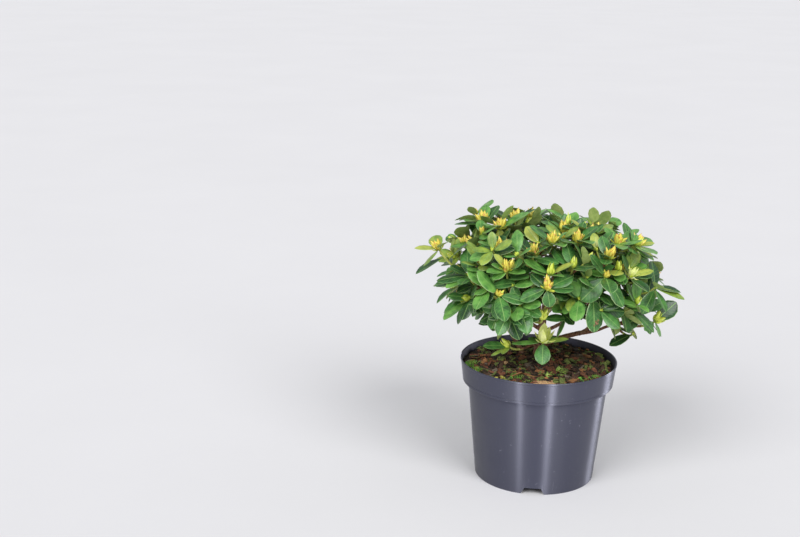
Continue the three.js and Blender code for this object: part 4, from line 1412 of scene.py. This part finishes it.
    def grow_noted_leaves(self, shoot):
        """The leaves that the shoot names one by one, each tried a little off its place too."""
        outward = (shoot.tip - CROWN_MIDDLE) / CROWN_RADIUS
        outward.z = 0
        for rank, (azimuth, elevation, length, width, tone) in enumerate(shoot.leaves):
            root = shoot.twig.at(1 - 0.5 * (rank + 1) / shoot.twig.length())
            curl_number = rank % NOTED_CURLS
            facing = UP + outward * NOTED_TILT
            rise = math.radians(elevation)
            for attempt in range(LEAF_TRIES):
                wander = attempt * NOTED_WANDER * (1 if attempt % 2 else -1)
                side = math.radians(azimuth + wander)
                heading = Vector((
                    math.cos(side) * math.cos(rise), math.sin(side) * math.cos(rise), math.sin(rise)))
                leaf = leaf_along(root, heading, facing, length, width, LEAF_CURLS[curl_number])
                fit = self.leaf_fits(leaf, shoot)
                if fit:
                    self.keep(fit, leaf, shoot, rank, False, curl_number, tone)
                    low, high = [leaf.foot + heading * share * length for share in NOTED_ROD]
                    self.rods.add(low, high, NOTED_CLEARANCE * width, shoot.number)
                    break

    def grow_shoot_leaf(self, shoot, i, rosette_leaves):
        """The rosette's leaves sit close under the bud, and the older ones lower down."""
        random = random_from(shoot.seed + 20 + i)
        old = i - rosette_leaves + 1
        below = 0.5 + ROSETTE_SPACING * i + (OLD_SPACING * old if old > 0 else 0)
        share = 1 - below / shoot.twig.length()
        if share < LOWEST_LEAF_SHARE:
            return
        spread = between(random, *(OLD_SPREAD if old > 0 else ROSETTE_SPREAD))
        spread += 0 if old > 0 else ROSETTE_OPENING * i
        turn = shoot.phase + i * GOLDEN_ANGLE
        random = random_from(shoot.seed + 40 + i)
        length = self.leaf_length * shoot.leaf
        length *= between(random, 1 - LEAF_LENGTH_SPREAD, 1 + LEAF_LENGTH_SPREAD)
        curl_number = int(random() * len(LEAF_CURLS))
        width_share = self.leaf_width_share * between(random, *LEAF_WIDTH_SPREAD)
        root = shoot.twig.at(share)
        axis = shoot.twig.heading(share)
        for attempt in range(LEAF_TRIES):
            wander = attempt * TRY_TURN * (1 if attempt % 2 else -1)
            change = 1 - TRY_CHANGE * attempt
            leaf = pose_leaf(
                root, axis, turn + wander, spread * change, length * change,
                length * change * width_share, LEAF_CURLS[curl_number])
            fit = self.leaf_fits(leaf, shoot)
            if fit:
                self.keep(fit, leaf, shoot, i, old > 0, curl_number)
                return


# The room that each kind of bud takes: its length and its radius
BUD_ROOM = {
    "cluster": (15, 5),
    "gold": (11, 3),
    "tuft": (14, 4.5),
    "opening": (14, 4.5),
    "cone": (14, 2.6),
    "cones": (11, 4.5),
    "small": (4, 1.8),
}


@functools.lru_cache(maxsize=1)
def grown(*settings):
    """The crown, grown once for each set of settings."""
    return Crown(*settings)


def crown_of(context):
    """The crown for the scene's settings. Its twigs, leaves and buds share one growth."""
    settings = context.scene.azalea_crown
    return grown(settings.rosette_leaves, settings.old_leaves, settings.side_twigs,
                 settings.leaf_length / MM, settings.leaf_width_share)


# Limbs

# The bark's pattern in millimetres: its cracks across and along, its flakes, and its relief of
# grain, ridges and flakes
CRACK_SIZE = (1.2, 1.2, 6)
CRACK_DEPTH = 0.25
FLAKE_COLOUR_SIZE = 7
SKIN_GRAIN = 0.55
RIDGE_WIDTH = 1.1
RIDGE_LENGTH = 4.5
RIDGE_DEPTH = 0.22
FLAKE_SIZE = 2.6
FLAKE_DEPTH = 0.14


def bark_material():
    # Thin azalea bark: red-brown and matt, greyer in flakes, with fine cracks along the limb
    material, shader, place = new_material("red-brown bark", linear("#7d5140"), 0.82)
    links = material.node_tree.links
    stretched = add_node(material, "ShaderNodeMapping", None, {
        "Vector": place, "Scale": [1 / (size * MM) for size in CRACK_SIZE]})
    cracks = add_node(material, "ShaderNodeTexNoise", None, {
        "Vector": stretched.outputs["Vector"], "Scale": 1.0, "Detail": 5.0, "Roughness": 0.7})
    flakes = add_node(material, "ShaderNodeTexNoise", None, {
        "Vector": place, "Scale": 1 / (FLAKE_COLOUR_SIZE * MM), "Detail": 3.0})
    dark = add_node(material, "ShaderNodeMapRange", None, {
        "Value": cracks.outputs["Fac"], "From Min": 0.35, "From Max": 0.6})
    brown = add_node(material, "ShaderNodeMix", {"data_type": "RGBA"}, {
        "Factor": dark.outputs["Result"], MIX_A: linear("#5a3a2c"), MIX_B: linear("#ad7d64")})
    grey = add_node(material, "ShaderNodeMapRange", None, {
        "Value": flakes.outputs["Fac"], "From Min": 0.52, "From Max": 0.68, "To Max": 0.7})
    colour = add_node(material, "ShaderNodeMix", {"data_type": "RGBA"}, {
        "Factor": grey.outputs["Result"], MIX_A: brown.outputs[MIX_RESULT], MIX_B: linear("#a08a74")})
    links.new(colour.outputs[MIX_RESULT], shader.inputs["Base Color"])
    relief = add_node(material, "ShaderNodeBump", None, {
        "Height": cracks.outputs["Fac"], "Strength": 0.8, "Distance": CRACK_DEPTH * MM})
    links.new(relief.outputs["Normal"], shader.inputs["Normal"])
    return material


def limb_swell(limb):
    """How a limb's radius varies: it flares at the mix and swells a little where it forks."""
    def swell(share, middle):
        flare = ROOT_FLARE * max(0, 1 - 3 * share) if limb.base == TRUNK["base"] else 0
        fork = FORK_SWELL * max(0, 1 - 9 * share)
        return 1 + flare + fork + LIMB_UNEVENNESS * noise.noise(middle / 5)
    return swell


class AZALEA_OT_limbs(bpy.types.Operator):
    """Build the trunk, stems and boughs as one skin with the bark's relief"""
    bl_idname = "azalea.limbs"
    bl_label = "Trunk, stems and boughs"

    def execute(self, context):
        crown = crown_of(context)
        parts = [
            limb_pattern(limb.curve, limb.base, limb.tip, 14, 14, swell=limb_swell(limb))
            for limb in crown.limbs]
        bark = joined("bark", parts, [bark_material()], LIMB_NODES, BARK_SHARP)
        skin = bark.modifiers.new("skin", "REMESH")
        skin.mode = "VOXEL"
        skin.voxel_size = SKIN_GRAIN * MM
        applied(bark)
        bm = bmesh.new()
        bm.from_mesh(bark.data)
        bmesh.ops.smooth_vert(
            bm, verts=bm.verts, factor=0.5, use_axis_x=True, use_axis_y=True, use_axis_z=True)
        bm.normal_update()
        for vert in bm.verts:
            place = vert.co / MM
            ridge = noise.noise(
                Vector((place.x / RIDGE_WIDTH, place.y / RIDGE_WIDTH, place.z / RIDGE_LENGTH)))
            flake = noise.noise(place / FLAKE_SIZE + Vector((9, 0, 0)))
            vert.co += vert.normal * (RIDGE_DEPTH * ridge + FLAKE_DEPTH * flake) * MM
        bm.to_mesh(bark.data)
        bm.free()
        bark.data.shade_smooth()
        return {"FINISHED"}


class AZALEA_OT_twigs(bpy.types.Operator):
    """Build the twigs, brown where they are old and green where they grew this year"""
    bl_idname = "azalea.twigs"
    bl_label = "Twigs"

    def execute(self, context):
        # Last year's wood: smooth red-brown bark with pale scars, matt
        old = mottled("last year's twig bark", "#9a6a4c", "#5f3b2a", 2.5, 0.7, bump=0.1)
        # This year's growth: soft yellow-green skin with a slight sheen
        new = mottled("this year's green shoot", "#c4ca66", "#9aa24a", 3, 0.5)
        parts = []
        for twig in crown_of(context).twigs:
            start, _, end = twig.curve.points
            brown = twig.brown * (end - start).length

            def finish_of(place, start=start, brown=brown):
                return 1 if (place - start).length > brown else 0

            parts.append(limb_pattern(twig.curve, twig.base, twig.tip, 6, 8, finish_of))
        joined("twigs", parts, [old, new], MASS_NODES, BARK_SHARP)
        return {"FINISHED"}


# Leaves

LEAF_TONES = {
    "deep": ("#30602f", "#1a381f"),
    "green": ("#4f8a40", "#2a5028"),
    "fresh": ("#78b052", "#457c37"),
    "olive": ("#9eb44c", "#688535"),
    "young": ("#c0c85e", "#95a243"),
}
TONE_NUMBERS = {tone: number for number, tone in enumerate(LEAF_TONES)}

# The numbers of a leaf's other finishes, which follow its tones
UNDERSIDE, MARGIN, EDGE_HIGHLIGHT_MARGIN, MIDRIB, SCAR = range(len(LEAF_TONES), len(LEAF_TONES) + 5)

# How a spray's leaves are toned: up to which draw, the tone, how often it comes, and the other tone
SPRAY_TONES = [
    (0.3, "deep", 0.6, "green"), (0.66, "green", 0.75, "fresh"),
    (0.86, "fresh", 0.6, "green"), (1, "olive", 0.6, "fresh")]
YOUNG_RANKS = 2
YOUNG_SHARE = 0.16
YOUNG_LENGTH = 28
EDGE_HIGHLIGHT_SHARE = 0.3

# A leaf's grain and relief in millimetres, and its side veins as shares of its length: how far
# they run back towards the edge, half their spacing and half their width
LEAF_GRAIN = 9
LEAF_RELIEF = 0.2
VEIN_SLANT = -0.22
VEIN_SPACING = 0.055
VEIN_WIDTH = 0.012


def leaf_material(name, light, dark, roughness):
    """A leathery leaf face: the lamina with fine pale side veins that follow the leaf's UVs."""
    material, shader, place = new_material(name, linear(light), roughness)
    links = material.node_tree.links
    pattern, lamina = mottle(material, place, light, dark, LEAF_GRAIN)
    uv = add_node(material, "ShaderNodeUVMap", {"uv_map": "UVMap"})
    parts = add_node(material, "ShaderNodeSeparateXYZ", None, {"Vector": uv.outputs["UV"]})
    across = add_node(material, "ShaderNodeMath", {"operation": "ABSOLUTE"}, {0: parts.outputs["Y"]})
    slant = add_node(material, "ShaderNodeMath", {"operation": "MULTIPLY"}, {
        0: across.outputs["Value"], 1: VEIN_SLANT})
    along = add_node(material, "ShaderNodeMath", {"operation": "ADD"}, {
        0: parts.outputs["X"], 1: slant.outputs["Value"]})
    waves = add_node(material, "ShaderNodeMath", {"operation": "PINGPONG"}, {
        0: along.outputs["Value"], 1: VEIN_SPACING})
    vein = add_node(material, "ShaderNodeMapRange", None, {
        "Value": waves.outputs["Value"], "From Min": VEIN_WIDTH, "From Max": 0.0, "To Max": 0.22})
    colour = add_node(material, "ShaderNodeMix", {"data_type": "RGBA"}, {
        "Factor": vein.outputs["Result"], MIX_A: lamina, MIX_B: linear("#9dbb74")})
    links.new(colour.outputs[MIX_RESULT], shader.inputs["Base Color"])
    height = add_node(material, "ShaderNodeMath", {"operation": "MULTIPLY_ADD"}, {
        0: vein.outputs["Result"], 1: -1.0, 2: pattern})
    relief = add_node(material, "ShaderNodeBump", None, {
        "Height": height.outputs["Value"], "Strength": 0.6, "Distance": LEAF_RELIEF * MM})
    links.new(relief.outputs["Normal"], shader.inputs["Normal"])
    return material


# A leaf's finishes by the numbers that leaf_pattern gives its faces
BLADE_FACE, UNDER_FACE, MARGIN_FACE, MIDRIB_FACE = range(4)


def leaf_pattern(curl, width_share):
    """A leaf of unit length along +X: a closed thin blade with a margin and a midrib."""
    margin = 2 * MARGIN_WIDTH / LEAF_LENGTH
    midrib = MIDRIB_WIDTH / LEAF_LENGTH
    stalk = STALK_WIDTH / LEAF_LENGTH / 2
    thick = LEAF_THICKNESS / LEAF_LENGTH / 2
    bm = bmesh.new()
    layer = bm.loops.layers.uv.new("UVMap")
    spots = {}

    def offset(line, half):
        """How far to the side a line runs where the blade is half this wide."""
        side = math.copysign(1, line)
        if abs(line) == MARGIN_LINE:
            return side * (half - min(margin / 2, 0.3 * half))
        if abs(line) == MIDRIB_LINE:
            return side * min(midrib / 2, 0.25 * half)
        return line * half

    def shape(verts, lines, raised):
        """Bends a flat grid into the upper or the under face of the blade."""
        for vert in verts:
            share = (vert.co.x + 1) / 2
            line = lines[round((vert.co.y + 1) / 2 * (len(lines) - 1))]
            along, half = leaf_outline(share)
            half = max(half * width_share, stalk * min(1, (1 - along) / 0.02, along / 0.01))
            across = offset(line, half)
            lift = 0 if abs(line) == EDGE_LINE or share < TINY or share > 1 - TINY else raised
            if abs(line) == MIDRIB_LINE:
                lift -= thick * MIDRIB_DIP
            bow = curl.cup * abs(across) - curl.droop * along * along
            turn = curl.twist * along
            spots[vert] = (along, across / max(half, TINY))
            vert.co = Vector((along, across * math.cos(turn), bow + lift + across * math.sin(turn)))

    columns = len(UPPER_LINES) - 1
    top = bmesh.ops.create_grid(bm, x_segments=LEAF_ROWS, y_segments=columns, size=1)["verts"]
    top_faces = list(bm.faces)
    for face in top_faces:
        column = round((face.calc_center_median().y + 1) / 2 * columns - 0.5)
        face.material_index = MARGIN_FACE if column in (0, columns - 1) else BLADE_FACE
        if column == columns // 2:
            face.material_index = MIDRIB_FACE
    under = bmesh.ops.create_grid(
        bm, x_segments=LEAF_ROWS, y_segments=len(UNDER_LINES) - 1, size=1)["verts"]
    under_faces = [face for face in bm.faces if face not in set(top_faces)]
    for face in under_faces:
        face.material_index = UNDER_FACE
    bmesh.ops.reverse_faces(bm, faces=under_faces)
    shape(top, UPPER_LINES, thick)
    shape(under, UNDER_LINES, -thick)
    for face in bm.faces:
        for loop in face.loops:
            loop[layer].uv = spots[loop.vert]
    bmesh.ops.remove_doubles(bm, verts=bm.verts, dist=1e-5)
    return frozen(bm)


def leaf_finishes(leaf):
    """A leaf's tone and margin, dealt out by spray: young ones paler, old ones deep, partly as painted
    shade inside the crown.
    """
    random = random_from(leaf.shoot.seed + 60 + leaf.rank)
    draw = random()
    # A whitish margin on some leaves is a painted highlight of the edge catching the light
    margin = EDGE_HIGHLIGHT_MARGIN if random() < EDGE_HIGHLIGHT_SHARE else MARGIN
    if leaf.tone == "scarred":
        return [TONE_NUMBERS["green"], UNDERSIDE, EDGE_HIGHLIGHT_MARGIN, MIDRIB]
    # Old leaves sit low and inside the crown and take the deep first spray: partly their own darker
    # green, partly painted shade of the crown's interior
    spray = 0 if leaf.old else random_from(leaf.shoot.seed + 3)()
    tone, share, other = next(row[1:] for row in SPRAY_TONES if spray < row[0])
    if draw >= share:
        tone = other
    if not leaf.old and leaf.rank < YOUNG_RANKS and draw < YOUNG_SHARE and leaf.length < YOUNG_LENGTH:
        tone = "young"
    return [TONE_NUMBERS[leaf.tone or tone], UNDERSIDE, margin, MIDRIB]


def scar_pattern():
    """A dry brown blotch with a ragged edge, thin enough to lie on a leaf."""
    bm = bmesh.new()
    bmesh.ops.create_icosphere(bm, subdivisions=2, radius=1)
    for vert in bm.verts:
        ragged = 1 + 0.5 * noise.noise(vert.co * 1.7)
        vert.co = Vector((vert.co.x * ragged, vert.co.y * ragged, vert.co.z * 0.12))
    return frozen(bm)


def scars_on(leaf):
    """Where the blotches lie on the scarred leaf."""
    for along, across, size in SCARS:
        droop = leaf.curl.droop * along * along * leaf.length
        lift = leaf.curl.cup * abs(across) * leaf.width + LEAF_THICKNESS / 2 - droop
        place = leaf.foot + leaf.heading * along * leaf.length
        place = place + leaf.side * across * leaf.width + leaf.face * lift
        yield frame_matrix(place, leaf.heading, leaf.face, Vector((size, size * 0.7, 2)))


class AZALEA_OT_leaves(bpy.types.Operator):
    """Build the leaves with their pale margins, midribs and undersides"""
    bl_idname = "azalea.leaves"
    bl_label = "Leaves"

    def execute(self, context):
        crown = crown_of(context)
        # Evergreen azalea leaves: leathery, with a waxy gloss above that breaks up over the veins
        finishes = [
            leaf_material(f"waxy leaf, {tone}", *shades, 0.3) for tone, shades in LEAF_TONES.items()]
        # The underside has no wax: pale yellow-green and nearly matt. It is made paler still as
        # painted light, standing for the light that shines through the thin leaf
        finishes.append(mottled("leaf underside, painted light through it", "#bccd7e", "#9fb667", 4, 0.55))
        # The thin margin is a little paler than the blade. On some leaves it is whitish: a painted
        # highlight where the edge catches the light
        finishes.append(mottled("leaf margin", "#709a53", "#638c4a", 12, 0.4))
        finishes.append(mottled("leaf margin, painted edge highlight", "#a9c388", "#9bb97a", 12, 0.45))
        # The midrib is smooth and paler, and fades towards the tip
        finishes.append(mottled("leaf midrib", "#8db366", "#6b974d", 6, 0.45))
        # Dead leaf tissue dries to a dull brown crust
        finishes.append(mottled("dead leaf tissue", "#a5825c", "#3a281c", 1.2, 0.8))
        width_share = crown.leaf_width_share
        patterns = [leaf_pattern(curl, width_share) for curl in LEAF_CURLS]
        groups = {"upper_leaves": [], "lower_leaves": []}
        scar = scar_pattern()
        for leaf in crown.leaves:
            matrix = frame_matrix(leaf.foot, leaf.heading, leaf.face, Vector((
                leaf.length, leaf.width / width_share, leaf.length)))
            parts = groups["upper_leaves" if leaf.shoot.tip.z > UPPER_LEAVES_FROM else "lower_leaves"]
            parts.append(copy_of(patterns[leaf.curl_number], matrix, leaf_finishes(leaf)))
            if leaf.tone == "scarred":
                parts.extend(copy_of(scar, spot, [SCAR]) for spot in scars_on(leaf))
        for name, parts in groups.items():
            joined(name, parts, finishes, MASS_NODES, LEAF_SHARP)
        return {"FINISHED"}


# Buds

# A bract: its rows and thickness, how far its outline is cut off at the foot, how much it wraps
# round, and how far its bulge runs along it
BRACT_ROWS = 4
BRACT_THICKNESS = 0.36
BRACT_FOOT = 0.18
BRACT_WRAP = 0.55
BRACT_BULGE = 0.9


def banded(share, finishes):
    """The finish of a face from how far along its bud it lies."""
    return finishes[min(int(share * len(finishes)), len(finishes) - 1)]


def bract_pattern(length, width, curve, finishes):
    """A pointed bract along +Z, hollow towards -X like a boat, and closed."""
    bm = bmesh.new()
    bmesh.ops.create_grid(bm, x_segments=BRACT_ROWS, y_segments=2, size=1)
    for face in bm.faces:
        face.material_index = banded((face.calc_center_median().x + 1) / 2, finishes)
    copied = bmesh.ops.duplicate(bm, geom=bm.verts[:] + bm.edges[:] + bm.faces[:])
    inner = {item for item in copied["geom"] if isinstance(item, bmesh.types.BMVert)}
    inner_faces = [item for item in copied["geom"] if isinstance(item, bmesh.types.BMFace)]
    bmesh.ops.reverse_faces(bm, faces=inner_faces)
    for vert in bm.verts:
        share = (vert.co.x + 1) / 2
        across = vert.co.y
        arc = math.pi * (BRACT_FOOT + (1 - BRACT_FOOT) * share)
        half = width / 2 * math.sin(arc) ** 0.8 if share < 1 else 0
        edge = abs(across) > 0.99 or share < 0.01 or share > 0.99
        lift = 0 if edge else math.copysign(BRACT_THICKNESS / 2, -1 if vert in inner else 1)
        bulge = curve * math.sin(math.pi * share * BRACT_BULGE)
        wrap = BRACT_WRAP * half * (1 - across * across)
        vert.co = Vector((bulge + wrap + lift, across * half, share * length))
    bmesh.ops.remove_doubles(bm, verts=bm.verts, dist=1e-4)
    bmesh.ops.recalc_face_normals(bm, faces=bm.faces)
    return frozen(bm)


def spindle_pattern(length, radius, finishes):
    """A pointed bud along +Z, fattest below its middle."""
    bm = bmesh.new()
    bmesh.ops.create_uvsphere(bm, u_segments=6, v_segments=5, radius=1)
    for face in bm.faces:
        face.material_index = banded((face.calc_center_median().z + 1) / 2, finishes)
    for vert in bm.verts:
        share = (vert.co.z + 1) / 2
        wide = radius * math.sin(math.pi * share ** 0.75) ** 0.9 if 0 < share < 1 else 0
        flat = Vector((vert.co.x, vert.co.y, 0))
        flat = flat.normalized() * wide if flat.length > TINY else Vector()
        vert.co = flat + UP * share * length
    return frozen(bm)


# The numbers of the buds' finishes, in the order that they are made
GOLD_BASE, GOLD, GOLD_TIP, LIME, PALE_LIME, BUD_GREEN = range(6)


def ringed(pattern, count, lean, offset, first=0.0):
    """Copies of a pattern round +Z, each leaning outward."""
    parts = []
    for i in range(count):
        turn = Matrix.Rotation(first + 2 * math.pi * i / count, 4, "Z")
        tilt = Matrix.Rotation(lean, 4, "Y")
        parts.append(copy_of(pattern, turn @ Matrix.Translation((offset, 0, 0)) @ tilt))
    return parts


def flower_bud_pattern():
    """A plump golden flower bud: a core in three bracts, flushed orange at their tips."""
    core = spindle_pattern(15, 2.1, [GOLD_BASE, GOLD, GOLD, GOLD, GOLD_TIP])
    bract = bract_pattern(13, 4.2, 1.2, [GOLD_BASE, GOLD, GOLD, GOLD])
    flushed = bract_pattern(11, 4.2, 1.5, [GOLD_BASE, GOLD_BASE, GOLD, GOLD_TIP])
    return merged([core] + ringed(bract, 2, 0.06, 0.5) + ringed(flushed, 1, 0.12, 0.6, 1.6))


def cone_bud_pattern():
    """A leaf bud of wrapped young leaves, lime-yellow and pointed."""
    core = spindle_pattern(13, 2.1, [BUD_GREEN, LIME, PALE_LIME])
    long_bract = bract_pattern(13.5, 4.2, 1.2, [BUD_GREEN, LIME, LIME, LIME])
    short_bract = bract_pattern(9, 3.8, 1.5, [BUD_GREEN, LIME, LIME, LIME])
    return merged([core] + ringed(long_bract, 3, 0.05, 0.5) + ringed(short_bract, 3, 0.18, 0.7, 1.0))


def small_bud_pattern():
    """The small green resting bud in a rosette with no flowers."""
    core = spindle_pattern(4.2, 1.2, [BUD_GREEN, LIME])
    return merged([core] + ringed(bract_pattern(4.4, 2.4, 0.5, [BUD_GREEN, LIME]), 3, 0.2, 0.4))


# What each kind of bud is made of: a pattern, how many of it at least and how many more at most,
# their tilt from the middle outward, their size, and the angle that the first one stands at
BUD_FANS = {
    "cluster": [
        ("flower", 4, 2, (0.05, 0.62), (0.8, 1.1), 0),
        ("foot leaf", 5, 0, (0.7, 1.2), (0.7, 1.1), 1.3)],
    "gold": [
        ("flower", 2, 1, (0.1, 0.5), (0.55, 0.75), 0),
        ("foot leaf", 3, 0, (0.6, 1.1), (0.5, 0.8), 1.3)],
    "cone": [("cone", 1, 0, (0, 0), (0.85, 1.1), 0)],
    "cones": [("cone", 2, 0, (0.3, 0.4), (0.95, 1.1), 0)],
    "tuft": [("narrow leaf", 9, 0, (0.15, 1.05), (0.75, 1.2), 0)],
    "opening": [
        ("broad leaf", 3, 0, (0.08, 0.3), (1.15, 1.4), 0),
        ("narrow leaf", 8, 0, (0.35, 1.05), (0.9, 1.4), 0)],
    "small": [("small", 1, 0, (0, 0), (0.9, 1.3), 0)],
}

# How far a tilt wanders, and how far a flower bud may turn about itself, in radians
TILT_WANDER = 0.08
OWN_TURN = 6.28


def fanned(patterns, fan, foot, random):
    """Copies of a pattern that spread from a bud's foot, the outer ones tilted more."""
    name, count, more, (low, high), sizes, first = fan
    if more:
        count += int(random() * (more + 1))
    for i in range(count):
        tilt = low + (high - low) * (i / max(count - 1, 1)) ** 0.7
        tilt += between(random, -TILT_WANDER, TILT_WANDER)
        size = Matrix.Scale(between(random, *sizes), 4)
        around = Matrix.Rotation(first + i * GOLDEN_ANGLE, 4, "Z")
        place = foot @ (around @ Matrix.Rotation(tilt, 4, "Y"))
        if name == "flower":
            place = place @ Matrix.Rotation(random() * OWN_TURN, 4, "Z")
        yield copy_of(patterns[name], place @ size)


class AZALEA_OT_buds(bpy.types.Operator):
    """Build the golden flower buds, the lime leaf buds and the tufts of new growth"""
    bl_idname = "azalea.buds"
    bl_label = "Buds"

    def execute(self, context):
        crown = crown_of(context)
        # Bud scales: thin, waxy and slightly sticky, golden and flushed salmon at the tip,
        # while leaf buds and new leaves are soft lime with a satin skin
        finishes = [
            mottled("flower bud base, waxy", "#d2dc62", "#b2c24e", 2, 0.45),
            mottled("flower bud scale, golden", "#f8ec74", "#e8d456", 2, 0.42),
            mottled("flower bud tip, flushed", "#eab070", "#d18c52", 1.5, 0.45),
            mottled("leaf bud, lime", "#e8f06c", "#cfe050", 3, 0.42),
            mottled("new leaf, pale lime", "#f4f7ac", "#e4ee84", 3, 0.45),
            mottled("bud base, green", "#b2c858", "#90ac48", 2, 0.5),
        ]
        young = [LIME, PALE_LIME, PALE_LIME, PALE_LIME]
        patterns = {
            "flower": flower_bud_pattern(),
            "cone": cone_bud_pattern(),
            "small": small_bud_pattern(),
            "narrow leaf": bract_pattern(14, 4.4, 1.0, young),
            "broad leaf": bract_pattern(17, 8.4, 1.8, young),
            "foot leaf": bract_pattern(11, 4, 0.8, [GOLD_BASE, GOLD_BASE, LIME, GOLD]),
        }
        groups = {"flower_buds": [], "leaf_buds": []}
        for shoot in crown.shoots:
            random = random_from(shoot.seed + 5)
            turn = shoot.lean.to_track_quat("Z", "X") @ Quaternion(UP, shoot.phase)
            foot = Matrix.Translation(shoot.tip - shoot.lean) @ turn.to_matrix().to_4x4()
            parts = groups["flower_buds" if shoot.bud in ("cluster", "gold") else "leaf_buds"]
            for fan in BUD_FANS[shoot.bud]:
                parts.extend(fanned(patterns, fan, foot, random))
        for name, parts in groups.items():
            joined(name, parts, finishes, MASS_NODES, LEAF_SHARP)
        return {"FINISHED"}


# The stage

def strip_lamp(name, place, size, power, lit):
    """A narrow upright lamp that faces the pot and lights only the pieces in one collection."""
    lamp = bpy.data.lights.new(name, "AREA")
    lamp.shape = "RECTANGLE"
    lamp.size, lamp.size_y = size
    lamp.energy = power
    lamp.color = linear(LAMP_COLOUR)[:3]
    holder = linked(name, lamp)
    holder.location = place
    holder.rotation_euler = (Vector((0, 0, POT_HIGH.z / 2)) - place).to_track_quat("-Z", "Y").to_euler()
    holder.light_linking.receiver_collection = lit


class AZALEA_OT_stage(bpy.types.Operator):
    """Set up the pale floor, the soft studio light and the camera"""
    bl_idname = "azalea.stage"
    bl_label = "Stage"

    def execute(self, context):
        settings = context.scene.azalea_stage
        bm = bmesh.new()
        bmesh.ops.create_circle(bm, cap_ends=True, segments=96, radius=FLOOR_RADIUS)
        mesh = bpy.data.meshes.new("floor")
        bm.to_mesh(mesh)
        bm.free()
        # Matt white paper: even, with a barely visible cloudiness
        mesh.materials.append(mottled("matt white paper", "#e2e1e3", "#e0dfe1", 400, 0.85))
        floor = linked("floor", mesh)
        world = bpy.data.worlds.new("studio")
        world.use_nodes = True
        background = world.node_tree.nodes["Background"]
        background.inputs["Color"].default_value = linear(SKY_COLOUR)
        background.inputs["Strength"].default_value = settings.sky
        context.scene.world = world
        for name, direction, share in KEY_LIGHTS:
            sun = bpy.data.lights.new(name, "SUN")
            sun.energy = settings.key * share
            sun.angle = math.radians(KEY_SOFTNESS)
            linked(name, sun).rotation_euler = Vector(direction).to_track_quat("Z", "Y").to_euler()
        # Narrow upright lamps, whose images are the soft streaks down the pot's wall
        lit = bpy.data.collections.new("lit_by_strips")
        lit.objects.link(bpy.data.objects["pot_shell"])
        for name, azimuth, width, share in STRIP_LAMPS:
            side = math.radians(azimuth)
            place = STRIP_DISTANCE * Vector((math.cos(side), math.sin(side), 0)) + UP * STRIP_LENGTH / 2
            strip_lamp(name, place, (width, STRIP_LENGTH), settings.strips * share, lit)
        lens = bpy.data.cameras.new("camera")
        lens.lens = CAMERA_LENS
        lens.sensor_width = SENSOR_WIDTH
        lens.sensor_fit = "HORIZONTAL"
        lens.clip_end = CAMERA_REACH
        camera = linked("camera", lens)
        ahead = Vector((0, math.cos(CAMERA_PITCH), -math.sin(CAMERA_PITCH)))
        above = Vector((0, math.sin(CAMERA_PITCH), math.cos(CAMERA_PITCH)))
        right = Vector((1, 0, 0)) * math.cos(CAMERA_ROLL) + above * math.sin(CAMERA_ROLL)
        up = above * math.cos(CAMERA_ROLL) - Vector((1, 0, 0)) * math.sin(CAMERA_ROLL)
        turn = Matrix((right, up, -ahead)).transposed().to_4x4()
        camera.matrix_world = Matrix.Translation(CAMERA_PLACE) @ turn
        context.scene.camera = camera
        context.scene.view_settings.view_transform = "Standard"
        return {"FINISHED"}


class AZALEA_PT_panel(bpy.types.Panel):
    """Lists the pieces and their settings"""
    bl_idname = "AZALEA_PT_panel"
    bl_label = "Azalea"
    bl_space_type = "VIEW_3D"
    bl_region_type = "UI"
    bl_category = "Azalea"

    def draw(self, context):
        for operator in OPERATORS:
            self.layout.operator(operator.bl_idname)
        for name in SETTINGS:
            group = getattr(context.scene, name)
            for prop in group.bl_rna.properties:
                if prop.identifier not in ("rna_type", "name"):
                    self.layout.prop(group, prop.identifier)


OPERATORS = [
    AZALEA_OT_pot, AZALEA_OT_mix, AZALEA_OT_moss, AZALEA_OT_limbs,
    AZALEA_OT_twigs, AZALEA_OT_leaves, AZALEA_OT_buds, AZALEA_OT_stage,
]
SETTINGS = {
    "azalea_pot": PotSettings,
    "azalea_mix": MixSettings,
    "azalea_crown": CrownSettings,
    "azalea_stage": StageSettings,
}


def register():
    for name, group in SETTINGS.items():
        bpy.utils.register_class(group)
        setattr(bpy.types.Scene, name, PointerProperty(type=group))
    for operator in OPERATORS:
        bpy.utils.register_class(operator)
    bpy.utils.register_class(AZALEA_PT_panel)


def unregister():
    bpy.utils.unregister_class(AZALEA_PT_panel)
    for operator in reversed(OPERATORS):
        bpy.utils.unregister_class(operator)
    for name, group in reversed(SETTINGS.items()):
        delattr(bpy.types.Scene, name)
        bpy.utils.unregister_class(group)


def main():
    register()
    for operator in OPERATORS:
        group, _, name = operator.bl_idname.partition(".")
        getattr(getattr(bpy.ops, group), name)()


if __name__ == "__main__":
    main()
